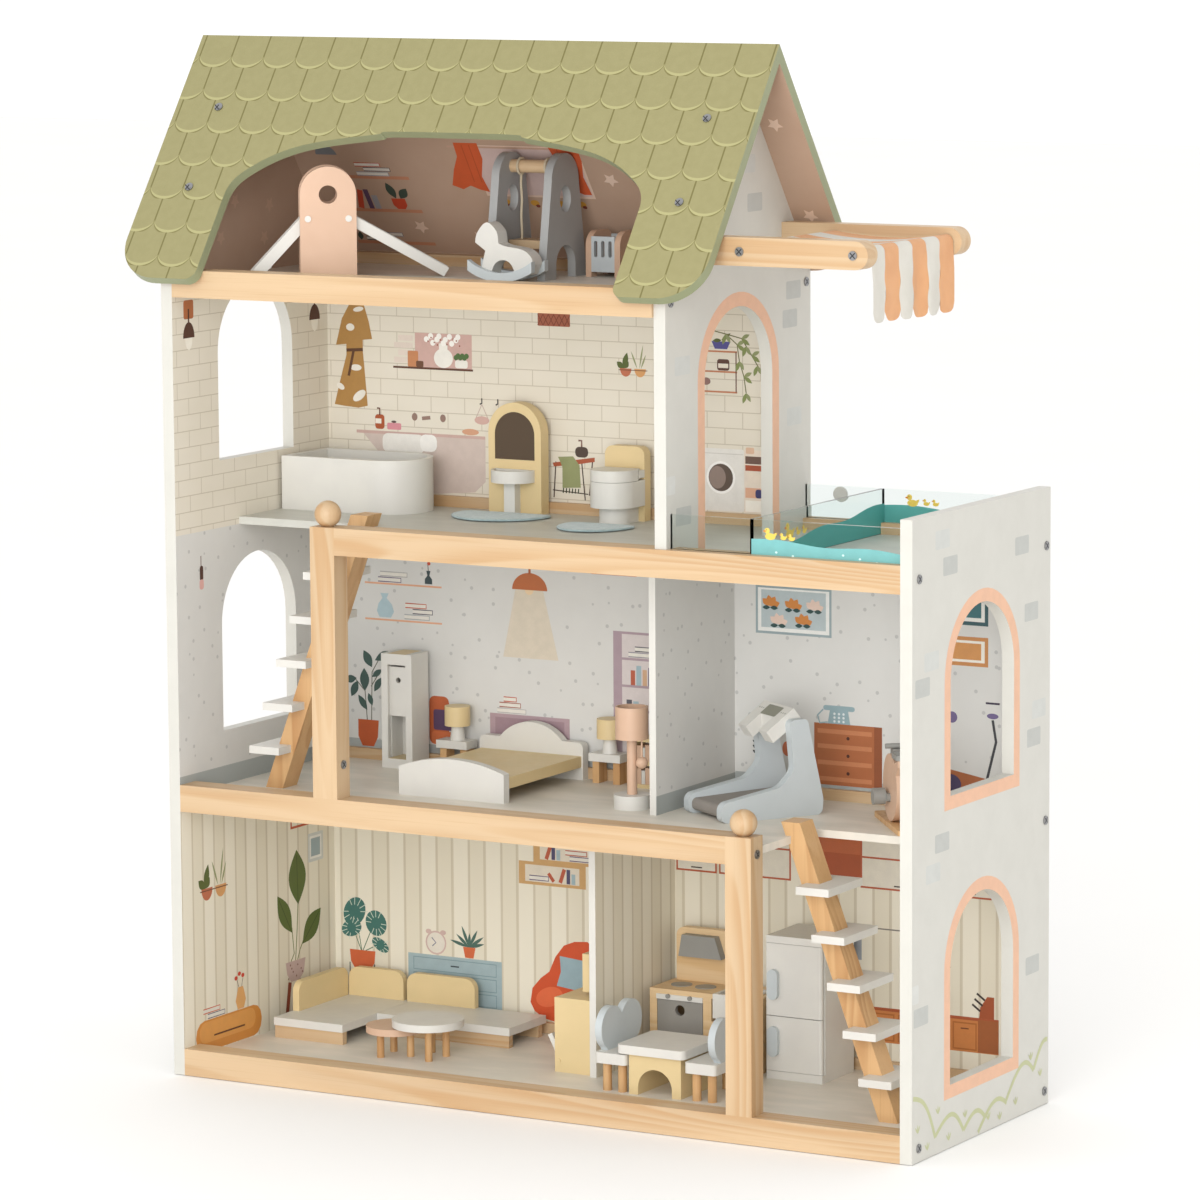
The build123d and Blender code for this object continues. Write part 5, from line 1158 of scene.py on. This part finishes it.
def treadmill_display():
    """The screen and keys on the sloping top of the treadmill's console."""
    mesh = NODES["treadmill"].data
    tops = [f for f in mesh.polygons if house(f.center).z > FIRST + 66 and 0.3 < f.normal.z < 0.97]
    widest = max((f for f in tops if f.normal.z > 0.8), key=lambda f: f.area)
    steep, level = widest.normal.copy(), widest.center.dot(widest.normal)
    tops = [f for f in tops if f.normal.dot(steep) > 0.999 and abs(f.center.dot(steep) - level) < 0.2 * MM]
    points = [mesh.vertices[v].co for f in tops for v in f.vertices]
    across = UP.cross(steep).normalized()
    rise = steep.cross(across).normalized()
    spans = [(min(p.dot(a) for p in points), max(p.dot(a) for p in points)) for a in (across, rise)]
    centre = across * (sum(spans[0]) / 2) + rise * (sum(spans[1]) / 2) + steep * level
    page = Print("treadmill_display", centre, across, rise, steep)
    half = (spans[0][1] - spans[0][0]) / MM / 2
    top = (spans[1][1] - spans[1][0]) / MM / 2
    page.rounded("#8A8A7D", -half * 0.5, top * 0.1, half * 0.5, top * 0.85, 1.2)
    for i in range(3):
        page.oval("#A9A9A0", half * (0.62 + 0.13 * i), top * 0.5, 0.9)
        page.oval("#A9A9A0", -half * (0.62 + 0.13 * i), top * 0.5, 0.9)
    page.place()


for draw in (screw_slot_shades, treadmill_display, bathroom_pictures, bedroom_pictures, gym_pictures,
             living_room_pictures, kitchen_pictures,
             attic_pictures, outside_walls, pool_pictures):
    draw()


# Cloth, felt and rope ----------------------------------------------------------------------------

def in_uv(finish):
    """The piece's own sheet coordinates, each from 0 to 1."""
    split = finish.tree.nodes.new("ShaderNodeSeparateXYZ")
    source = finish.tree.nodes.new("ShaderNodeTexCoord").outputs["UV"]
    finish.tree.links.new(source, split.inputs[0])
    return [Value(finish.tree, out) for out in split.outputs[:2]]


def striped_cotton(stripes, width, length):
    """Woven cotton, peach and white by turns, with the threads as fine relief."""
    finish = Finish("striped_cotton", 0.85, 0.15)
    u, v = in_uv(finish)
    peach = (u * (stripes / 2)).fract().over(0.5)
    wear = finish.noise(70, 3)
    stain = finish.mix(wear.ramp(0.3, 0.7), "#DAD6CB", "#DEDAD0")
    dyed = finish.mix(wear.ramp(0.3, 0.7), "#DDA06E", "#E4A976")
    threads = (u * (width / 0.0006) * 2 * pi).math("SINE") * (v * (length / 0.0006) * 2 * pi).math("SINE")
    tone = finish.mix(peach, stain, dyed)
    finish.colour(finish.mix(threads.ramp(-1.0, 1.0) * 0.12, tone, "#A89A88"))
    finish.roughness(wear * 0.1 + 0.8)
    finish.bump(threads, 0.00008)
    finish.surface.inputs["Sheen Weight"].default_value = 0.2
    return finish.material


def felt():
    finish = Finish("felt", 0.95, 0.05)
    fuzz = finish.noise(1400, 4, 1.5)
    clumps = finish.noise(220, 3)
    tone = finish.mix(clumps.ramp(0.3, 0.7), "#9DB4B8", "#AFC4C6")
    finish.colour(finish.mix(fuzz.ramp(0.4, 0.7) * 0.5, tone, "#8CA2A6"))
    finish.roughness(fuzz * 0.1 + 0.88)
    finish.bump(fuzz, 0.00025)
    finish.surface.inputs["Sheen Weight"].default_value = 0.5
    return finish.material


def twine():
    finish = Finish("twine", 0.85, 0.1)
    # painted shade: each strand is coloured dark in the groove between strands and light on its crown,
    # besides its relief
    strands_and_groove_shade = ((finish.z + finish.x * 1.4 + finish.y * 1.4) / 0.0012).fract()
    finish.colour(finish.mix(strands_and_groove_shade, "#B8A88C", "#DCD0B8"))
    finish.roughness(strands_and_groove_shade * 0.1 + 0.8)
    finish.bump(strands_and_groove_shade, 0.0002)
    return finish.material


def link(name, mesh, material):
    mesh.materials.append(material)
    obj = bpy.data.objects.new(name, mesh)
    bpy.context.scene.collection.objects.link(obj)
    return obj


STRIPES = 6
DROP = 0.0525
NOTCH = 0.0075


def tab_notch(across, seam):
    """How much shorter the cloth is cut there: the tabs have blunt round ends, one to each stripe."""
    tab = 1.0 if seam else (across * STRIPES) % 1.0 * 2 - 1
    return NOTCH * (1 - sqrt(max(0.0, 1 - abs(tab) ** 3)))


def awning():
    """Striped cloth over the two rods, hanging past the outer one in round-ended tabs.

    It settles by simulation."""
    low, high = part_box("awning_cloth")
    rod_low, rod_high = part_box("awning_frame")
    radius, skin = 0.0050, 0.0008
    rod_z = (rod_low.z + rod_high.z) / 2
    inner_x, outer_x = at(489.5, 0, 0).x, at(584.7, 0, 0).x
    reach = radius + skin
    width = high.y - low.y - 0.001
    slack = 1.035
    over, wrap = (outer_x - inner_x) * slack, reach * radians(95)
    length = wrap + over + reach * pi / 2 + DROP

    def route(s):
        """Where the cloth starts at distance s along it: round a rod, across, round the other and down."""
        if s < wrap:
            turn = radians(90) + (wrap - s) / reach
            return inner_x + reach * cos(turn), rod_z + reach * sin(turn)
        s -= wrap
        if s < over:
            return inner_x + s / slack, rod_z + reach - 0.004 * sin(pi * s / over)
        s -= over
        if s < reach * pi / 2:
            turn = pi / 2 - s / reach
            return outer_x + reach * cos(turn), rod_z + reach * sin(turn)
        return outer_x + reach, rod_z - (s - reach * pi / 2)

    columns, rows = STRIPES * 14, 96
    hang = wrap + over + reach * pi / 2
    cuts = [length - tab_notch(i / columns, i % 14 == 0) - 0.0008 * sin(5 * i / columns + 1)
            for i in range(columns + 1)]
    cut_area = sum((a + b) / 2 for a, b in zip(cuts, cuts[1:])) * width / columns
    verts, uvs, held = [], [], []
    for j in range(rows + 1):
        for i in range(columns + 1):
            across = i / columns
            s = cuts[i] * j / rows
            x, z = route(s)
            ripple = min(1.0, max(0.0, (s - hang) / 0.02))
            sway = sin(2 * pi * across * STRIPES / 2 + 0.6) + 0.5 * sin(2 * pi * across * 4.3 + 1.9)
            drift = 0.0011 * ripple * sin(260 * (s - hang) + 2.3 * int(across * STRIPES * 0.999))
            edge = min(1.0, across * 12, (1 - across) * 12)
            verts.append((x + 0.0010 * ripple * (1 + sway), low.y + 0.0005 + across * width + drift * edge,
                          z))
            uvs.append((across, s / length))
            if s < wrap * 1.02 or hang - reach * 1.1 < s < hang - reach * 0.35:
                held.append(len(verts) - 1)
    faces = []
    for j in range(rows):
        for i in range(columns):
            a = j * (columns + 1) + i
            faces.append((a, a + 1, a + columns + 2, a + columns + 1))
    mesh = bpy.data.meshes.new("awning_striped_cloth")
    mesh.from_pydata(verts, [], faces)
    layer = mesh.uv_layers.new(name="sheet")
    for loop in mesh.loops:
        layer.data[loop.index].uv = uvs[loop.vertex_index]
    mesh.shade_smooth()
    obj = link("awning_striped_cloth", mesh, striped_cotton(STRIPES, width, length))
    settle(obj, held)
    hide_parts("awning_cloth")
    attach(obj, "house")


def settle(obj, held):
    """Lets the cloth hang from the vertices that are tied, and keeps the shape it takes."""
    group = obj.vertex_groups.new(name="held")
    group.add(held, 1.0, "REPLACE")
    cloth = obj.modifiers.new("cloth", "CLOTH")
    cloth.settings.vertex_group_mass = "held"
    cloth.settings.mass = 0.00006
    cloth.settings.quality = 6
    cloth.settings.tension_stiffness = 18
    cloth.settings.compression_stiffness = 18
    cloth.settings.bending_stiffness = 0.002
    cloth.settings.air_damping = 2.0
    cloth.point_cache.frame_start = 1
    cloth.point_cache.frame_end = 36
    scene = bpy.context.scene
    for number in range(1, 37):
        scene.frame_set(number)
    graph = bpy.context.evaluated_depsgraph_get()
    settled = [v.co.copy() for v in obj.evaluated_get(graph).data.vertices]
    obj.modifiers.remove(cloth)
    obj.vertex_groups.clear()
    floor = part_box("awning_cloth")[0].z - 0.002
    for vertex, place in zip(obj.data.vertices, settled):
        vertex.co = (place.x, place.y, max(place.z, floor))
    scene.frame_set(1)


def bath_mats():
    """Two half-round felt mats lying on the bathroom floor."""
    material = felt()
    outlines = (("washstand_mat", 189, 198.5, 42, 51.5), ("toilet_mat", 293, 170, 31, 48))
    for name, x, back, half, depth in outlines:
        radius = 9
        ring = [(x + half - radius + radius * sin(radians(t)), back - radius + radius * cos(radians(t)))
                for t in range(0, 91, 10)]
        ring += [(x + half * cos(radians(t)),
                  back - radius - (depth - radius) * sin(radians(t))) for t in range(6, 175, 6)]
        ring += [(x - half + radius - radius * cos(radians(t)), back - radius + radius * sin(radians(t)))
                 for t in range(0, 91, 10)]
        verts, faces = [], []
        steps = 12
        for k in range(steps, 0, -1):
            share = k / steps
            edge = 1.0 if k < steps else 0.35
            for i, (u, v) in enumerate(ring):
                swell = 0.12 * sin(9 * i / len(ring) * pi + 2 * share) * share
                spot = (x + (u - x) * share, back - depth / 2 + (v - back + depth / 2) * share)
                verts.append(at(spot[0], spot[1], SECOND + 0.5 + 0.75 * edge + 0.3 * swell))
        count = len(ring)
        for k in range(steps - 1):
            for i in range(count):
                a, b = k * count + i, k * count + (i + 1) % count
                faces.append((a, b, b + count, a + count))
        faces.append(tuple(range((steps - 1) * count, steps * count)))
        mesh = bpy.data.meshes.new(name)
        mesh.from_pydata([tuple(v) for v in verts], [], faces)
        mesh.shade_smooth()
        obj = link(name, mesh, material)
        solid = obj.modifiers.new("thickness", "SOLIDIFY")
        solid.thickness = 0.001
        solid.offset = -1
        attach(obj, "house")
        turns = zip(ring, ring[1:] + ring[:1])
        area = abs(sum(a[0] * b[1] - b[0] * a[1] for a, b in turns)) / 2 * MM * MM
        if name == "washstand_mat":
            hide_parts("bath_mats")


def swing_ropes():
    """Two lengths of twine from the seat up to the bar."""
    material = twine()
    seat_top = height("swing_seat")
    for name, x in (("left_swing_rope", 225), ("right_swing_rope", 250)):
        curve = bpy.data.curves.new(name, "CURVE")
        curve.dimensions = "3D"
        curve.bevel_depth = 0.001
        curve.bevel_resolution = 4
        curve.use_fill_caps = True
        curve.resolution_u = 4
        line = curve.splines.new("NURBS")
        places = [(x + 0.25 * sin(i * 1.3), 160.5 + 0.25 * cos(i * 1.1),
                   seat_top + (718.6 - seat_top) * i / 10)
                  for i in range(11)]
        line.points.add(len(places) - 1)
        for point, place in zip(line.points, places):
            point.co = (*at(*place), 1.0)
        line.order_u = 3
        line.use_endpoint_u = True
        curve.materials.append(material)
        obj = bpy.data.objects.new(name, curve)
        bpy.context.scene.collection.objects.link(obj)
        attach(obj, "swing")
        at(*places[0])
        (718.6 - seat_top) * MM
        rope_loop(name + "_loop", x, material)
        if x == 225:
            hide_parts("swing_ropes")


def rope_loop(name, x, material):
    """The turn of twine round the bar."""
    bpy.ops.mesh.primitive_torus_add(major_radius=0.0063, minor_radius=0.00105, major_segments=40,
                                     minor_segments=10,
                                     location=at(x, 160.5, 723.5), rotation=(0, pi / 2, 0))
    loop = bpy.context.object
    loop.name = name
    loop.data.materials.append(material)
    loop.data.shade_smooth()
    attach(loop, "swing")
    return loop


awning()
bath_mats()
swing_ropes()


# Camera, light and backdrop ----------------------------------------------------------------------

def camera():
    """Set well back with a long lens, in front of the house and to its right."""
    yaw, pitch, roll = radians(-29.82), radians(-7.86), radians(-0.38)
    forward = Vector((sin(yaw) * cos(pitch), cos(yaw) * cos(pitch), sin(pitch)))
    right = Vector((cos(yaw), -sin(yaw), 0))
    up = right.cross(forward)
    level = right * cos(roll) + up * sin(roll)
    upright = up * cos(roll) - right * sin(roll)
    data = bpy.data.cameras.new("camera")
    data.sensor_width = 36.0
    data.lens = 170.0
    data.clip_end = 50.0
    obj = bpy.data.objects.new("camera", data)
    bpy.context.scene.collection.objects.link(obj)
    turn = Matrix((level, upright, -forward)).transposed().to_4x4()
    obj.matrix_world = Matrix.Translation(at(2499.1, -3686.9, 994.8)) @ turn
    bpy.context.scene.camera = obj


def lamp(name, position, target, size, power, colour=(1, 1, 1)):
    data = bpy.data.lights.new(name, "AREA")
    data.size = size
    data.energy = power
    data.color = colour
    obj = bpy.data.objects.new(name, data)
    bpy.context.scene.collection.objects.link(obj)
    obj.location = position
    obj.rotation_mode = "QUATERNION"
    obj.rotation_quaternion = (target - position).to_track_quat("-Z", "Y")


def studio():
    """A pale floor under soft light from the front, the left and above."""
    mesh = bpy.data.meshes.new("studio_floor")
    half = 12.0
    mesh.from_pydata([(-half, -half, 0), (half, -half, 0), (half, half, 0), (-half, half, 0)], [],
                     [(0, 1, 2, 3)])
    floor = bpy.data.objects.new("studio_floor", mesh)
    bpy.context.scene.collection.objects.link(floor)
    floor.location.z = -0.0005
    finish = Finish("studio_floor_paint", 0.7)
    finish.colour(finish.mix(finish.noise(3, 2), "#F4F3F1", "#F7F6F4"))
    mesh.materials.append(finish.material)
    world = bpy.data.worlds.new("studio")
    world.use_nodes = True
    world.node_tree.nodes["Background"].inputs["Color"].default_value = (1.0, 1.0, 1.0, 1.0)
    world.node_tree.nodes["Background"].inputs["Strength"].default_value = 1.10
    bpy.context.scene.world = world
    middle = at(320, 118, 360)
    lamp("front", middle + Vector((1.0, -3.0, 0.7)), middle, 2.0, 50)
    lamp("low_front", middle + Vector((0.9, -2.6, -0.1)), middle, 1.0, 8)
    bpy.context.scene.view_settings.view_transform = "Standard"


camera()
studio()
